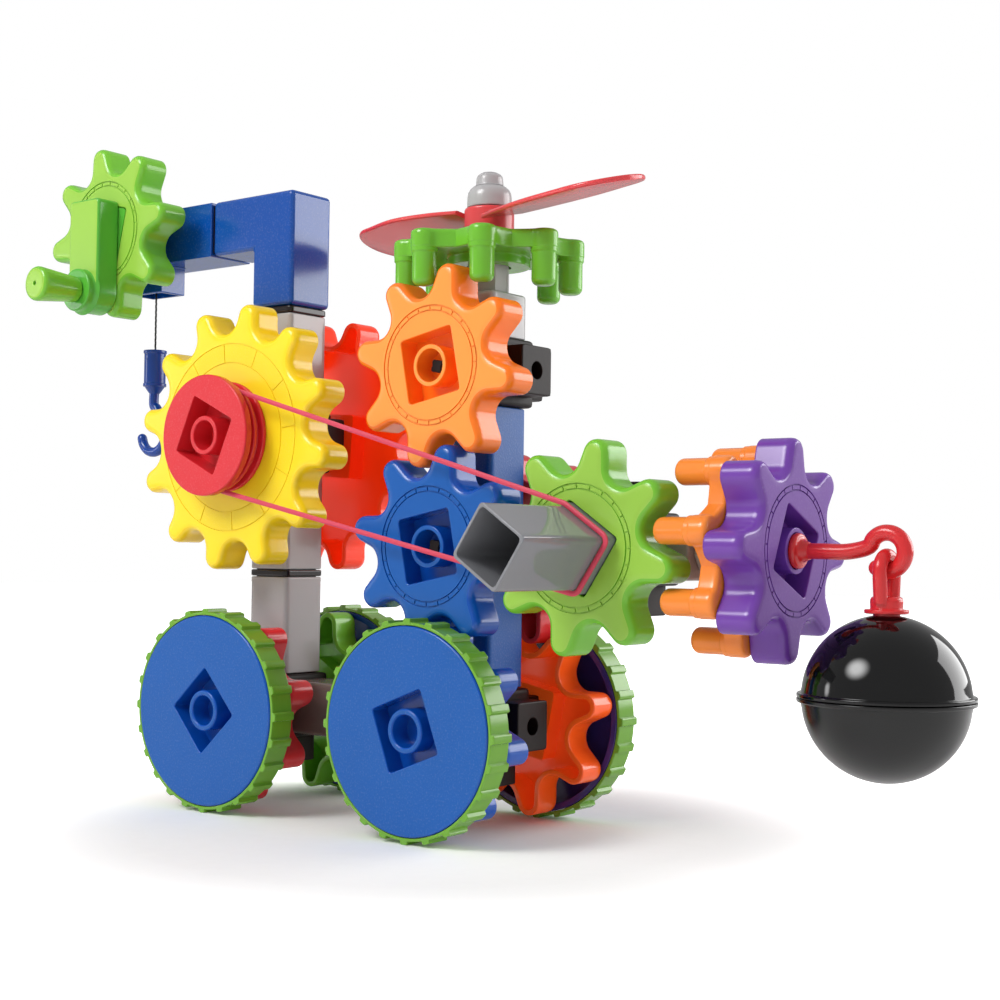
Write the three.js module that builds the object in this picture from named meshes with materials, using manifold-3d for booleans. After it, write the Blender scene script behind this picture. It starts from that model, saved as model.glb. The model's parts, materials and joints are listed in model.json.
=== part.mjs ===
// A construction set vehicle: two square columns on a short chassis with four wheels.
// One column carries a crane arm with a crank winch and a hook. The other turns a
// propeller through a crown gear, and a side arm whose crown gear swings a ball on a hook.
// Millimetres, +Z up. X runs along the chassis, from the crane to the ball arm, and the
// near wheels face -Y. The origin is on the ground under the middle of the whole.
import * as THREE from 'three';
import { mergeVertices } from 'three/addons/utils/BufferGeometryUtils.js';
import Module from 'manifold-3d';

const wasm = await Module();
wasm.setup();

// Fits
const gap = 0.3;
const overrun = 1;

// Square building pieces
const pillarSide = 20;
const pillarWall = 1.05;
const pillarLength = 37.3;
const pillarCorner = 1.6;
const seamRing = 2.5;
const ringOverhang = 0.2;
const ringBoreShare = 0.8;
const plugReach = 9;

// Six way connectors
const coreSide = 24.3;
const coreCorner = 1.8;
const stubReach = 10;
const stubBore = 3.1;
const stubBoreDepth = 9;

// Gears
const smallTeeth = 8;
const largeTeeth = 12;
const addendum = 4.4;
const dedendum = 6.7;
const tipFlat = 1.9;
const shoulderWidth = 4;
const shoulderDrop = 1.6;
const toothRound = 4.7;
const smallFlankLean = 12;
const largeFlankLean = 9;
const valleyShare = 0.66;
const gearThickness = 13;
const gearSetOut = 19.2;
const gearFrontWall = 2;
const rimWall = 2;
const socketSide = 22.7;
const socketWall = 1.4;
const socketFloor = 1.45;
const bossRadius = 7.3;
const bossBore = 5.7;
const pinRadius = 2.7;

// Tooth phases, turned from upright
const meshTurn = 11.25;
const crankGearTurn = -14;
const freeGearTurn = 36;
const farGearTurn = 30;
const pulleyGearTurn = -25;
const backGearTurn = 4;
const hookGearTurn = 9;

// Wheels
const discRadius = 35.4;
const discThickness = 10.2;
const discRim = 2.4;
const tyreBase = 36.7;
const lugHeight = 1.3;
const lugCount = 24;
const lugShare = 0.3;
const tyreWidth = 9.8;
const wheelTurn = 21.2;
const nearLeftWheelTurn = 42.4;

// Pulley and drive band
const pulleyRadius = 22.8;
const pulleyLength = 12.2;
const pulleyFlange = 3.2;
const pulleyRib = 21;
const pulleyRibWidth = 1.6;
const grooveRadius = 18.2;
const bandSection = 1.8;
const bandSetOff = 0.5;

// Axle seats, their shafts and the crown gears
const axleSeatHeight = 16;
const journalRadius = 6;
const shaftRadius = 7.8;
const shaftFaces = 8;
const crownTipSetOut = 28.4;
const crownPegLength = 13;
const crownDisc = 6.6;
const crownPegCircle = 29.4;
const crownPegRadius = 4.3;
const crownLobe = 4.9;
const crownLobeAngles = [-60, -20, 20, 60];
const crownNeck = 25.4;
const crownHubRadius = 15;
const crownHubDepth = 3.2;

// Propeller and its cap
const propellerRadius = 79.5;
const propellerHub = 9.6;
const propellerHubHeight = 11;
const bladeThickness = 1.7;
const bladeChord = 33.6;
const bladeRise = 8.2;
const bladePitch = 12.7;
const propellerTurn = 162;
// Share of the reach and share of the widest chord, from the hub to the tip
const bladeShares = [[0.06, 0.5], [0.3, 0.82], [0.55, 1], [0.8, 0.94], [0.93, 0.7], [1, 0.24]];
const capRadius = 8.8;
const capHeight = 12.6;
const capStep = 7.4;
const capKnob = 5.6;
const capRound = 0.9;

// Elbow, winch housing, crank and winch
const elbowSide = 22;
const elbowReach = 45;
const elbowWall = 2;
const armSeam = 0.5;
const winchLength = 52.6;
const winchAxleInset = 11.4;
const legSide = 20;
const legDrop = 11.6;
const legWall = 1.6;
const legBack = 3;
const axleBossRadius = 8.5;
const drumRadius = 4;
const drumFlange = 8.4;
const drumFlangeWidth = 1.5;
const drumHalf = 6;
const spoolJournal = 5;
const spoolTail = 3.6;
const crankBarWidth = 18.4;
const crankBarDepth = 10;
const crankBarRise = 11.6;
const crankThrow = 25.6;
const crankBossRadius = 8.6;
const crankBossLength = 3.4;
const handlePin = 2.4;
const knobLength = 19.4;
const knobNeck = 5.1;
const knobEnd = 7.1;
const knobRound = 1.6;

// Cord and winch hook
const cordRadius = 0.45;
const hookDrop = 45.2;
const hookBarrelRadius = 4.9;
const hookBarrelLength = 15.4;
const hookBarrelTaper = 2.6;
const hookShankLength = 16.8;
const hookWire = 2.05;
const hookBowl = 7.5;
const hookLeanShare = 0.2;
const hookRiseShare = 1.5;
const hookTipShare = 0.94;
const hookStart = 30;

// Tube on the arm gear
const tubeLength = 42.2;
const collarRise = 3.1;

// Ball, its eye and the red hook
const swingWire = 2.3;
const swingShank = 17.6;
const swingLoop = 5.8;
const swingSetOut = 91.2;
const swingStart = 162;
const swingSweep = 285;
const swingPlugRadius = 5.3;
const swingPlugStand = 1.6;
const ballRadius = 25.1;
const ballWall = 1.5;
const ballRim = 26.5;
const ballRimHeight = 1.3;
const ballDrop = 43.9;
const eyeWire = 2.1;
const eyeHalf = 4.9;
const eyeNeckRadius = 5.7;
const eyeNeckLength = 4.2;
const eyeFlangeRadius = 6.6;
const eyeFlange = 1.3;
const eyePlug = 4;

// Counts of facets
const roundFacets = 18;
const smallFacets = 10;
const wireFacets = 6;
const hookFacets = 8;
const shaftFacets = 12;
const discFacets = 32;
const grooveFacets = 26;
const cornerSteps = 2;
const bendSteps = 8;
const loopSteps = 9;
const shellSteps = 4;
const eyeSpans = 12;
const hookSpans = 18;
const swingSpans = 20;

// Places that follow from the sizes
const coreHalf = coreSide / 2;
const stubSide = pillarSide - 2 * pillarWall - 2 * gap;
const pillarStep = pillarLength + 2 * gap;
const pitch = coreSide + pillarStep;
const ringStep = seamRing + 2 * gap;
const toothModule = pitch / smallTeeth;
const craneRise = coreSide + 2 * pillarStep + ringStep - gap;
const columnSpacing = coreSide + 2 * pillarStep - gap;
const stubFace = coreHalf + stubReach;
const gearFace = gearSetOut + gearThickness;
const floorBack = stubFace + gap;
const floorFront = floorBack + socketFloor;
const wheelFace = gearFace + gap + discThickness;
const axleHeight = tyreBase + lugHeight;
const gearZ = axleHeight + craneRise;
const midZ = axleHeight + pitch;
const topZ = axleHeight + 2 * pitch;
const elbowBase = gearZ + coreHalf + pillarStep + seamRing + gap;
const armZ = elbowBase + elbowReach - elbowSide / 2;
const elbowEnd = elbowSide / 2 - elbowReach;
const winchRight = elbowEnd - armSeam - 2 * gap;
const winchLeft = winchRight - winchLength;
const winchX = winchLeft + winchAxleInset;
const seatTop = coreHalf + gap + axleSeatHeight;
const crownUnder = crownTipSetOut + crownPegLength;
const crownTop = crownUnder + crownDisc;
const pulleyLand = (pulleyLength - pulleyFlange - 2 * pulleyRibWidth) / 2;
const bandAtPulley = gearFace + gap + 2 * pulleyRibWidth + pulleyLand + pulleyLand / 2;
const bandAtTube = gearFace + collarRise + gap + bandSection / 2 + bandSetOff;
const turn = Math.PI / 180;

// Materials
function plastic(color, roughness) {
  return new THREE.MeshStandardMaterial({ color, roughness, metalness: 0 });
}

const green = plastic(0x8ccf4a, 0.3);
const orange = plastic(0xfb9440, 0.3);
const emberOrange = plastic(0xee4a26, 0.3);
const yellow = plastic(0xfde03a, 0.35);
const red = plastic(0xe0393c, 0.35);
const blue = plastic(0x2b62b4, 0.35);
const deepBlue = plastic(0x25468f, 0.35);
const grey = plastic(0x9d9da3, 0.4);
const darkPlastic = plastic(0x211715, 0.35);
const purple = plastic(0x7a4fa3, 0.3);
const ballBlack = plastic(0x0c0c0d, 0.15);
const tyreGreen = plastic(0x82ba33, 0.6);
const bandRubber = plastic(0xd9566e, 0.6);
const cordBlack = plastic(0x1a1a1c, 0.8);

// Solids
function solidOf(geometry) {
  const bare = geometry.index ? geometry.toNonIndexed() : geometry.clone();
  bare.deleteAttribute('normal');
  bare.deleteAttribute('uv');
  const merged = mergeVertices(bare);
  return new wasm.Manifold(new wasm.Mesh({
    numProp: 3,
    vertProperties: new Float32Array(merged.attributes.position.array),
    triVerts: new Uint32Array(merged.index.array),
  }));
}

function geometryOf(solid) {
  const mesh = solid.getMesh();
  const geometry = new THREE.BufferGeometry();
  const places = new Float32Array((mesh.vertProperties.length / mesh.numProp) * 3);
  for (let i = 0; i < places.length / 3; i += 1) {
    for (let k = 0; k < 3; k += 1) places[3 * i + k] = mesh.vertProperties[mesh.numProp * i + k];
  }
  geometry.setAttribute('position', new THREE.BufferAttribute(places, 3));
  geometry.setIndex(new THREE.BufferAttribute(new Uint32Array(mesh.triVerts), 1));
  geometry.computeVertexNormals();
  return geometry;
}

function joined(solids) {
  return solids.reduce((whole, next) => whole.add(next));
}

function cutBy(solid, cutters) {
  return cutters.reduce((whole, next) => whole.subtract(next), solid);
}

// A solid with this outline, from one height to another
function prism(points, from, to) {
  const shape = new THREE.Shape(points);
  const geometry = new THREE.ExtrudeGeometry(shape, { depth: to - from, bevelEnabled: false });
  geometry.translate(0, 0, from);
  return solidOf(geometry);
}

function circlePoints(radius, count, start = 0) {
  return Array.from({ length: count }, (unused, i) => {
    const angle = start + (2 * Math.PI * i) / count;
    return new THREE.Vector2(radius * Math.cos(angle), radius * Math.sin(angle));
  });
}

function rod(radius, from, to, count = roundFacets) {
  return prism(circlePoints(radius, count, Math.PI / count), from, to);
}

// Corner points of a square with rounded corners
function squarePoints(side, corner, angle = 0) {
  const points = [];
  const inner = side / 2 - corner;
  const steps = corner > 0 ? cornerSteps : 0;
  for (let quarter = 0; quarter < 4; quarter += 1) {
    for (let i = 0; i <= steps; i += 1) {
      const local = steps ? (Math.PI / 2) * (i / steps) : 0;
      const point = new THREE.Vector2(inner + corner * Math.cos(local), inner + corner * Math.sin(local));
      if (!steps) point.set(side / 2, side / 2);
      points.push(point.rotateAround(new THREE.Vector2(), (Math.PI / 2) * quarter + angle));
    }
  }
  return points;
}

function bar(side, from, to, corner = 0, angle = 0) {
  return prism(squarePoints(side, corner, angle), from, to);
}

// A box between two corners
function block(low, high) {
  const size = new THREE.Vector3().subVectors(high, low);
  const geometry = new THREE.BoxGeometry(size.x, size.y, size.z);
  geometry.translate(low.x + size.x / 2, low.y + size.y / 2, low.z + size.z / 2);
  return solidOf(geometry);
}

// A body of revolution about Z from radius and height pairs
function spun(pairs, count = roundFacets) {
  const profile = pairs.map(([radius, height]) => new THREE.Vector2(radius, height));
  const geometry = new THREE.LatheGeometry(profile, count);
  geometry.rotateX(Math.PI / 2);
  geometry.rotateZ(Math.PI / count);
  const solid = solidOf(geometry);
  return solid.volume() < 0 ? solidOf(flipped(geometry)) : solid;
}

function flipped(geometry) {
  const index = geometry.index.array.slice();
  for (let i = 0; i < index.length; i += 3) [index[i], index[i + 1]] = [index[i + 1], index[i]];
  const copy = geometry.clone();
  copy.setIndex(new THREE.BufferAttribute(index, 1));
  return copy;
}

// A round wire along a curve
function wire(points, radius, steps, count = hookFacets) {
  const curve = new THREE.CatmullRomCurve3(points, false, 'centripetal');
  const section = new THREE.Shape(circlePoints(radius, count));
  return solidOf(new THREE.ExtrudeGeometry(section, { steps, extrudePath: curve }));
}

function moved(solid, x, y, z) {
  return solid.translate([x, y, z]);
}

// Faces a solid made along +Z to another axis
const facing = {
  up: [0, 0, 0],
  down: [180, 0, 0],
  near: [90, 0, 0],
  far: [-90, 0, 0],
  right: [0, 90, 0],
  left: [0, -90, 0],
};

// The whole, with one group for each place and direction
const whole = new THREE.Group();

function place(x, z, direction = 'up', turnDegrees = 0) {
  const group = new THREE.Group();
  group.position.set(x, 0, z);
  group.rotation.set(...facing[direction].map((angle) => angle * turn));
  const spinGroup = new THREE.Group();
  spinGroup.rotation.z = turnDegrees * turn;
  group.add(spinGroup);
  whole.add(group);
  return spinGroup;
}

function addPiece(name, solid, material, group) {
  const mesh = new THREE.Mesh(geometryOf(solid), material);
  mesh.name = name;
  group.add(mesh);
  return mesh;
}

// Connectors, pillars and joiners
function connector(boredAxes) {
  const core = bar(coreSide, -coreHalf, coreHalf, coreCorner);
  const stubs = Object.keys(facing).map((axis) => bar(stubSide, 0, stubFace).rotate(facing[axis]));
  const bore = rod(stubBore, stubFace - stubBoreDepth, stubFace + overrun, smallFacets);
  const bores = boredAxes.map((axis) => bore.rotate(facing[axis]));
  return cutBy(joined([core, ...stubs]), bores);
}

function squareTube(length, side = pillarSide, wall = pillarWall) {
  return bar(side, 0, length, pillarCorner)
    .subtract(bar(side - 2 * wall, -overrun, length + overrun));
}

function joiner(ring, side, reach) {
  const body = joined([
    bar(stubSide, -reach, ring + reach),
    bar(side, 0, ring, pillarCorner),
  ]);
  return body.subtract(bar(stubSide * ringBoreShare, -reach - overrun, ring + reach + overrun));
}

// Gears, made along the axis of the stub that carries them
function gearOutline(teeth) {
  const pitchRadius = (toothModule * teeth) / 2;
  const tip = pitchRadius + addendum;
  const root = pitchRadius - dedendum;
  const half = Math.PI / teeth;
  const lean = THREE.MathUtils.degToRad(teeth === largeTeeth ? largeFlankLean : smallFlankLean);
  // The round valley touches the root circle and the flank on each side
  const slope = Math.sin(lean + half);
  const valley = (root * slope - (tip - toothRound) * Math.sin(lean) - toothRound) / (1 - slope);
  const centre = new THREE.Vector2(root + valley, 0).rotateAround(new THREE.Vector2(), half);
  const flankEnd = 1.5 * Math.PI - lean;
  const bottom = Math.PI + half;
  const side = [
    new THREE.Vector2(tip, tipFlat),
    new THREE.Vector2(tip - shoulderDrop, shoulderWidth),
    ...[0, valleyShare].map((share) => new THREE.Vector2(valley, 0)
      .rotateAround(new THREE.Vector2(), flankEnd + (bottom - flankEnd) * share).add(centre)),
  ];
  const tooth = [...side.map((p) => new THREE.Vector2(p.x, -p.y)).reverse(), ...side];
  const points = [];
  for (let i = 0; i < teeth; i += 1) {
    tooth.forEach((p) => {
      points.push(p.clone().rotateAround(new THREE.Vector2(), 2 * half * i));
    });
  }
  return points;
}

// Pieces with the square socket and its round boss open to the front
function socketCut(face, depth) {
  return bar(socketSide, face - depth, face + overrun);
}

function socketBoss(face, depth) {
  return rod(bossRadius, face - depth - overrun / 2, face, smallFacets)
    .subtract(rod(bossBore, face - depth, face + overrun, smallFacets));
}

function gear(teeth, withBoss = true) {
  const pitchRadius = (toothModule * teeth) / 2;
  const hollow = pitchRadius - dedendum - rimWall;
  const depth = gearFace - floorFront;
  const toothTurn = 180 / teeth;
  const body = prism(gearOutline(teeth), gearSetOut, gearFace).rotate([0, 0, toothTurn]);
  const deep = rod(hollow, floorBack - overrun, gearFace - gearFrontWall)
    .subtract(bar(socketSide + 2 * socketWall, floorBack - 2 * overrun, gearFace));
  const shallow = rod(hollow, gearSetOut - overrun, floorBack);
  const pin = rod(pinRadius, floorBack - stubBoreDepth + 2 * gap, floorBack + socketFloor / 2, wireFacets);
  const open = cutBy(body, [deep, shallow, socketCut(gearFace, depth)]);
  return joined(withBoss ? [open, pin, socketBoss(gearFace, depth)] : [open, pin]);
}

// A square plug that seats in a gear's socket, clear of its boss
function socketPlug(to) {
  return bar(socketSide - 2 * gap, floorFront + gap, to)
    .subtract(rod(bossRadius + 2 * gap, floorFront, gearFace + 2 * gap, smallFacets));
}

// Wheels and tyres
function wheelDisc(socketTurn) {
  const back = gearFace + gap;
  const depth = discThickness - discRim;
  const plate = rod(discRadius, back, wheelFace, discFacets);
  const hollow = rod(discRadius - discRim, back - overrun, wheelFace - discRim, discFacets)
    .subtract(bar(socketSide + 2 * socketWall, back - 2 * overrun, wheelFace, 0, socketTurn * turn));
  const front = joined([
    cutBy(plate, [hollow, socketCut(wheelFace, depth).rotate([0, 0, socketTurn])]),
    socketBoss(wheelFace, depth),
  ]);
  return joined([front, socketPlug(back + discRim / 2)]);
}

function tyre() {
  const points = [];
  const top = tyreBase + lugHeight;
  const step = (2 * Math.PI) / lugCount;
  const half = (step * lugShare) / 2;
  for (let i = 0; i < lugCount; i += 1) {
    const angle = step * i;
    [[top, -half], [top, half], [tyreBase, half], [tyreBase, step - half]].forEach(([radius, swing]) => {
      points.push(new THREE.Vector2(radius * Math.cos(angle + swing), radius * Math.sin(angle + swing)));
    });
  }
  const back = gearFace + gap;
  return prism(points, back, back + tyreWidth)
    .subtract(rod(discRadius + gap, back - overrun, back + tyreWidth + overrun, discFacets));
}

// Pulley with two grooves, plugged into the gear behind it
function pulley() {
  const back = gearFace + gap;
  const front = back + pulleyLength;
  const land = pulleyLand;
  const body = spun([
    [0, back], [pulleyRib, back], [pulleyRib, back + pulleyRibWidth],
    [grooveRadius, back + pulleyRibWidth], [grooveRadius, back + pulleyRibWidth + land],
    [pulleyRib, back + pulleyRibWidth + land], [pulleyRib, back + 2 * pulleyRibWidth + land],
    [grooveRadius, back + 2 * pulleyRibWidth + land], [grooveRadius, front - pulleyFlange],
    [pulleyRadius, front - pulleyFlange], [pulleyRadius, front], [0, front],
  ], grooveFacets);
  const depth = pulleyLength - pulleyFlange;
  return joined([
    body.subtract(socketCut(front, depth)),
    socketBoss(front, depth),
    socketPlug(back + pulleyRibWidth),
  ]);
}

// A flat band round the pulley groove and the square tube
function hull(points) {
  const sorted = [...points].sort((a, b) => a.x - b.x || a.y - b.y);
  const chain = (list) => {
    const kept = [];
    list.forEach((point) => {
      while (kept.length > 1) {
        const [a, b] = kept.slice(-2);
        if ((b.x - a.x) * (point.y - a.y) - (b.y - a.y) * (point.x - a.x) > 0) break;
        kept.pop();
      }
      kept.push(point);
    });
    return kept.slice(0, -1);
  };
  return [...chain(sorted), ...chain(sorted.reverse())];
}

function bandOutline(offset, tubeTurn) {
  const points = circlePoints(grooveRadius + offset, discFacets);
  const away = new THREE.Vector2(columnSpacing + pitch, midZ - gearZ);
  squarePoints(pillarSide, pillarCorner, tubeTurn * turn).forEach((corner) => {
    circlePoints(offset, smallFacets).forEach((point) => points.push(point.add(corner).add(away)));
  });
  return hull(points);
}

// It runs askew, from the pulley's front groove to just before the collar
function driveBand(tubeTurn) {
  const from = -bandSection / 2;
  const outer = prism(bandOutline(gap + bandSection, tubeTurn), from, from + bandSection);
  const inner = prism(bandOutline(gap, tubeTurn), from - overrun, from + bandSection + overrun);
  const level = outer.subtract(inner);
  const slope = (bandAtTube - bandAtPulley) / (columnSpacing + pitch);
  const askew = new THREE.Matrix4().set(1, 0, 0, 0, 0, 1, 0, 0, slope, 0, 1, bandAtPulley, 0, 0, 0, 1);
  return solidOf(geometryOf(level).applyMatrix4(askew));
}

// Crown gears, their shafts and seats
function crownGear() {
  const points = [];
  for (let i = 0; i < smallTeeth; i += 1) {
    const angle = (2 * Math.PI * i) / smallTeeth;
    const centre = new THREE.Vector2(crownPegCircle, 0);
    crownLobeAngles.forEach((degrees) => {
      points.push(new THREE.Vector2(crownLobe, 0).rotateAround(new THREE.Vector2(), degrees * turn)
        .add(centre).rotateAround(new THREE.Vector2(), angle));
    });
    points.push(new THREE.Vector2(crownNeck, 0)
      .rotateAround(new THREE.Vector2(), angle + Math.PI / smallTeeth));
  }
  const disc = prism(points, crownUnder, crownTop);
  const hub = rod(crownHubRadius, crownUnder - crownHubDepth, crownTop);
  const half = crownPegRadius * Math.SQRT1_2;
  const pegs = Array.from({ length: smallTeeth }, (unused, i) => {
    const angle = (2 * Math.PI * i) / smallTeeth;
    const peg = spun([
      [0, crownTipSetOut], [half, crownTipSetOut + crownPegRadius - half],
      [crownPegRadius, crownTipSetOut + crownPegRadius], [crownPegRadius, crownUnder + crownDisc / 2],
      [0, crownUnder + crownDisc / 2],
    ], wireFacets);
    return moved(peg, crownPegCircle * Math.cos(angle), crownPegCircle * Math.sin(angle), 0);
  });
  return joined([disc, hub, ...pegs])
    .subtract(rod(shaftRadius + gap, crownTipSetOut, crownTop + overrun, shaftFaces));
}

function axleSeat() {
  const base = coreHalf + gap;
  return cutBy(bar(pillarSide, base, seatTop, pillarCorner), [
    bar(stubSide + 2 * gap, base - overrun, stubFace + gap),
    rod(journalRadius + gap, stubFace, seatTop + overrun, shaftFacets),
  ]);
}

function axleShaft(end, bored) {
  const start = stubFace + gap;
  const body = joined([
    rod(pinRadius, floorBack - stubBoreDepth + 2 * gap, seatTop, wireFacets),
    rod(journalRadius, start + gap, seatTop + gap, shaftFacets),
    rod(shaftRadius, seatTop + gap, end, shaftFaces),
  ]);
  return bored ? body.subtract(rod(stubBore, end - stubBoreDepth, end + overrun, wireFacets)) : body;
}

// Propeller: a hub with two pitched blades, bored for the shaft
function propeller(shaftTurn) {
  const base = crownTop + gap;
  const side = bladeShares.map(([out, share]) => [propellerRadius * out, (bladeChord * share) / 2]);
  const outline = [
    ...side.map(([x, y]) => new THREE.Vector2(x, -y)),
    ...[...side].reverse().map(([x, y]) => new THREE.Vector2(x, y)),
  ];
  const blade = prism(outline, -bladeThickness / 2, bladeThickness / 2).rotate([bladePitch, 0, 0]);
  const blades = [propellerTurn, propellerTurn + 180]
    .map((angle) => moved(blade.rotate([0, 0, angle]), 0, 0, base + bladeRise));
  const bore = rod(shaftRadius + gap, base - overrun, base + propellerHubHeight + overrun, shaftFaces);
  return joined([rod(propellerHub, base, base + propellerHubHeight), ...blades])
    .subtract(bore.rotate([0, 0, shaftTurn]));
}

function propellerCap() {
  const base = crownTop + propellerHubHeight + 2 * gap;
  const step = base + capStep;
  const top = base + capHeight;
  const bulge = capRadius * Math.SQRT1_2;
  const dome = spun([
    [0, base], [capRadius, base], [capRadius, base + capStep / 2],
    [(capRadius + bulge) / 2, step - capRound], [capKnob, step],
    [capKnob, (step + top) / 2], [capKnob * Math.SQRT1_2, top - capRound], [0, top],
  ], roundFacets);
  return dome.subtract(rod(journalRadius + gap, base - overrun, base + capStep / 2 + 2 * gap, shaftFacets));
}

// Crane elbow: two hollow legs square to each other
function craneElbow() {
  const half = elbowSide / 2;
  const inner = half - elbowWall;
  const leg = (x, z, reach, top) => {
    const low = new THREE.Vector3(x, -reach, z);
    return block(low, new THREE.Vector3(reach, reach, top));
  };
  const outside = joined([
    leg(-half, elbowBase, half, armZ + half),
    leg(elbowEnd, armZ - half, half, armZ + half),
  ]);
  return cutBy(outside, [
    leg(-inner, elbowBase - overrun, inner, armZ + inner),
    leg(elbowEnd - overrun, armZ - inner, inner, armZ + inner),
  ]);
}

// Winch housing: the arm's end with a leg open at its foot
function winchHousing() {
  const half = elbowSide / 2;
  const inner = half - elbowWall;
  const legHalf = legSide / 2;
  const legInner = legHalf - legWall;
  const legEnd = legBack - legWall;
  const foot = armZ - half - legDrop;
  const bossEnd = gearSetOut - gap;
  const outside = joined([
    block(
      new THREE.Vector3(winchLeft, -half, armZ - half),
      new THREE.Vector3(winchRight, half, armZ + half),
    ),
    block(
      new THREE.Vector3(winchX - legHalf, -legHalf, foot),
      new THREE.Vector3(winchX + legHalf, legBack, armZ),
    ),
    moved(rod(axleBossRadius, 0, bossEnd, smallFacets).rotate(facing.near), winchX, 0, armZ),
  ]);
  return cutBy(outside, [
    block(
      new THREE.Vector3(winchLeft + elbowWall, -inner, armZ - inner),
      new THREE.Vector3(winchRight + overrun, inner, armZ + inner),
    ),
    block(
      new THREE.Vector3(winchX - legInner, -legInner, foot - overrun),
      new THREE.Vector3(winchX + legInner, legEnd, armZ),
    ),
    moved(rod(spoolJournal + gap, 0, bossEnd + overrun, smallFacets).rotate(facing.near), winchX, 0, armZ),
    moved(rod(spoolTail + gap, 0, half + overrun, smallFacets).rotate(facing.far), winchX, 0, armZ),
  ]);
}

function winchSpool() {
  const flangeIn = drumHalf + drumFlangeWidth;
  const body = spun([
    [0, -elbowSide / 2], [spoolTail, -elbowSide / 2], [spoolTail, -flangeIn], [drumFlange, -flangeIn],
    [drumFlange, -drumHalf], [drumRadius, -drumHalf], [drumRadius, drumHalf], [drumFlange, drumHalf],
    [drumFlange, flangeIn], [spoolJournal, flangeIn], [spoolJournal, stubFace], [0, stubFace],
  ], smallFacets);
  return body.subtract(rod(stubBore, stubFace - stubBoreDepth, stubFace + overrun, wireFacets));
}

// Crank: a bar that hangs straight down across the gear's face, with a spinning knob at its end
function crankBar() {
  const face = gearFace + gap;
  const front = face + crankBarDepth;
  const half = crankBarWidth / 2;
  const arm = block(
    new THREE.Vector3(-half, -crankThrow, face),
    new THREE.Vector3(half, crankBarRise, front),
  );
  const end = moved(rod(crankBossRadius + gap, face, front), 0, -crankThrow, 0);
  const boss = moved(rod(crankBossRadius, front - overrun, front + crankBossLength), 0, -crankThrow, 0);
  const pin = moved(
    rod(handlePin, front, front + crankBossLength + knobLength - knobRound, wireFacets),
    0,
    -crankThrow,
    0,
  );
  return joined([arm, end, boss, pin, socketPlug(face + overrun).rotate([0, 0, crankGearTurn])]);
}

function crankKnob() {
  const start = gearFace + crankBarDepth + crankBossLength + 2 * gap;
  const end = start + knobLength;
  const body = spun([
    [0, start], [knobNeck, start], [knobEnd, end - knobRound], [knobEnd - knobRound, end], [0, end],
  ], roundFacets);
  return body.subtract(rod(handlePin + gap, start - overrun, end - knobRound + gap, smallFacets));
}

// Cord and hook of the winch
const cordX = winchX - drumRadius - gap - cordRadius;
const hookTop = armZ - hookDrop;

function winchCord() {
  return moved(rod(cordRadius, hookTop + gap, armZ, wireFacets), cordX, 0, 0);
}

function winchHook() {
  const barrelFoot = hookTop - hookBarrelLength;
  const taperFoot = barrelFoot - hookBarrelTaper;
  const barrel = spun([
    [0, taperFoot], [hookWire, taperFoot], [hookBarrelRadius, barrelFoot],
    [hookBarrelRadius, hookTop], [0, hookTop],
  ], smallFacets);
  const bowlZ = barrelFoot - hookShankLength - hookBowl / 2;
  const points = [
    new THREE.Vector3(0, 0, barrelFoot),
    new THREE.Vector3(0, 0, barrelFoot - hookShankLength / 2),
    new THREE.Vector3(hookBowl * hookLeanShare, 0, bowlZ + hookBowl * hookRiseShare),
  ];
  for (let i = 0; i <= bendSteps; i += 1) {
    const angle = (hookStart - (i / bendSteps) * (hookStart + 180 * hookTipShare)) * turn;
    points.push(new THREE.Vector3(hookBowl * Math.cos(angle), 0, bowlZ + hookBowl * Math.sin(angle)));
  }
  return moved(joined([barrel, wire(points, hookWire, hookSpans)]), cordX, 0, 0);
}

// Tube of the arm gear and the collar that carries it
function tubeCollar() {
  const face = gearFace + collarRise;
  return joined([
    socketPlug(face),
    bar(stubSide, face - overrun, face + plugReach),
  ]);
}

// Red hook that the purple gear turns, with the ball hanging in it
function swingHook(setOut) {
  const face = crownTop + gap + gearThickness;
  const seat = face - (gearFace - floorFront) + gap;
  const plug = rod(swingPlugRadius, seat, face + swingPlugStand, smallFacets);
  const shankEnd = face + swingShank;
  const points = [
    new THREE.Vector3(0, 0, face),
    new THREE.Vector3(0, 0, (face + shankEnd) / 2),
    new THREE.Vector3(0, 0, shankEnd),
  ];
  for (let i = 0; i <= loopSteps; i += 1) {
    const angle = (swingStart - (i / loopSteps) * swingSweep) * turn;
    points.push(new THREE.Vector3(-swingLoop * Math.sin(angle), 0, setOut + swingLoop * Math.cos(angle)));
  }
  return joined([plug, wire(points, swingWire, swingSpans)]);
}

function ballEye() {
  const wireTop = -(swingLoop - swingWire - gap - eyeWire);
  const bend = wireTop - eyeHalf;
  const neckTop = -ballDrop + ballRadius + gap + eyeFlange + eyeNeckLength;
  const neckFoot = neckTop - eyeNeckLength;
  const points = [new THREE.Vector3(0, -eyeHalf, neckTop - eyeWire)];
  for (let i = 0; i <= bendSteps; i += 1) {
    const angle = Math.PI - (Math.PI * i) / bendSteps;
    points.push(new THREE.Vector3(0, eyeHalf * Math.cos(angle), bend + eyeHalf * Math.sin(angle)));
  }
  points.push(new THREE.Vector3(0, eyeHalf, neckTop - eyeWire));
  return joined([
    wire(points, eyeWire, eyeSpans),
    rod(eyeNeckRadius, neckFoot, neckTop, smallFacets),
    rod(eyeFlangeRadius, neckFoot - eyeFlange, neckFoot, smallFacets),
    rod(eyePlug, neckFoot - eyeFlange - 2 * ballWall, neckFoot, smallFacets),
  ]);
}

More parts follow.
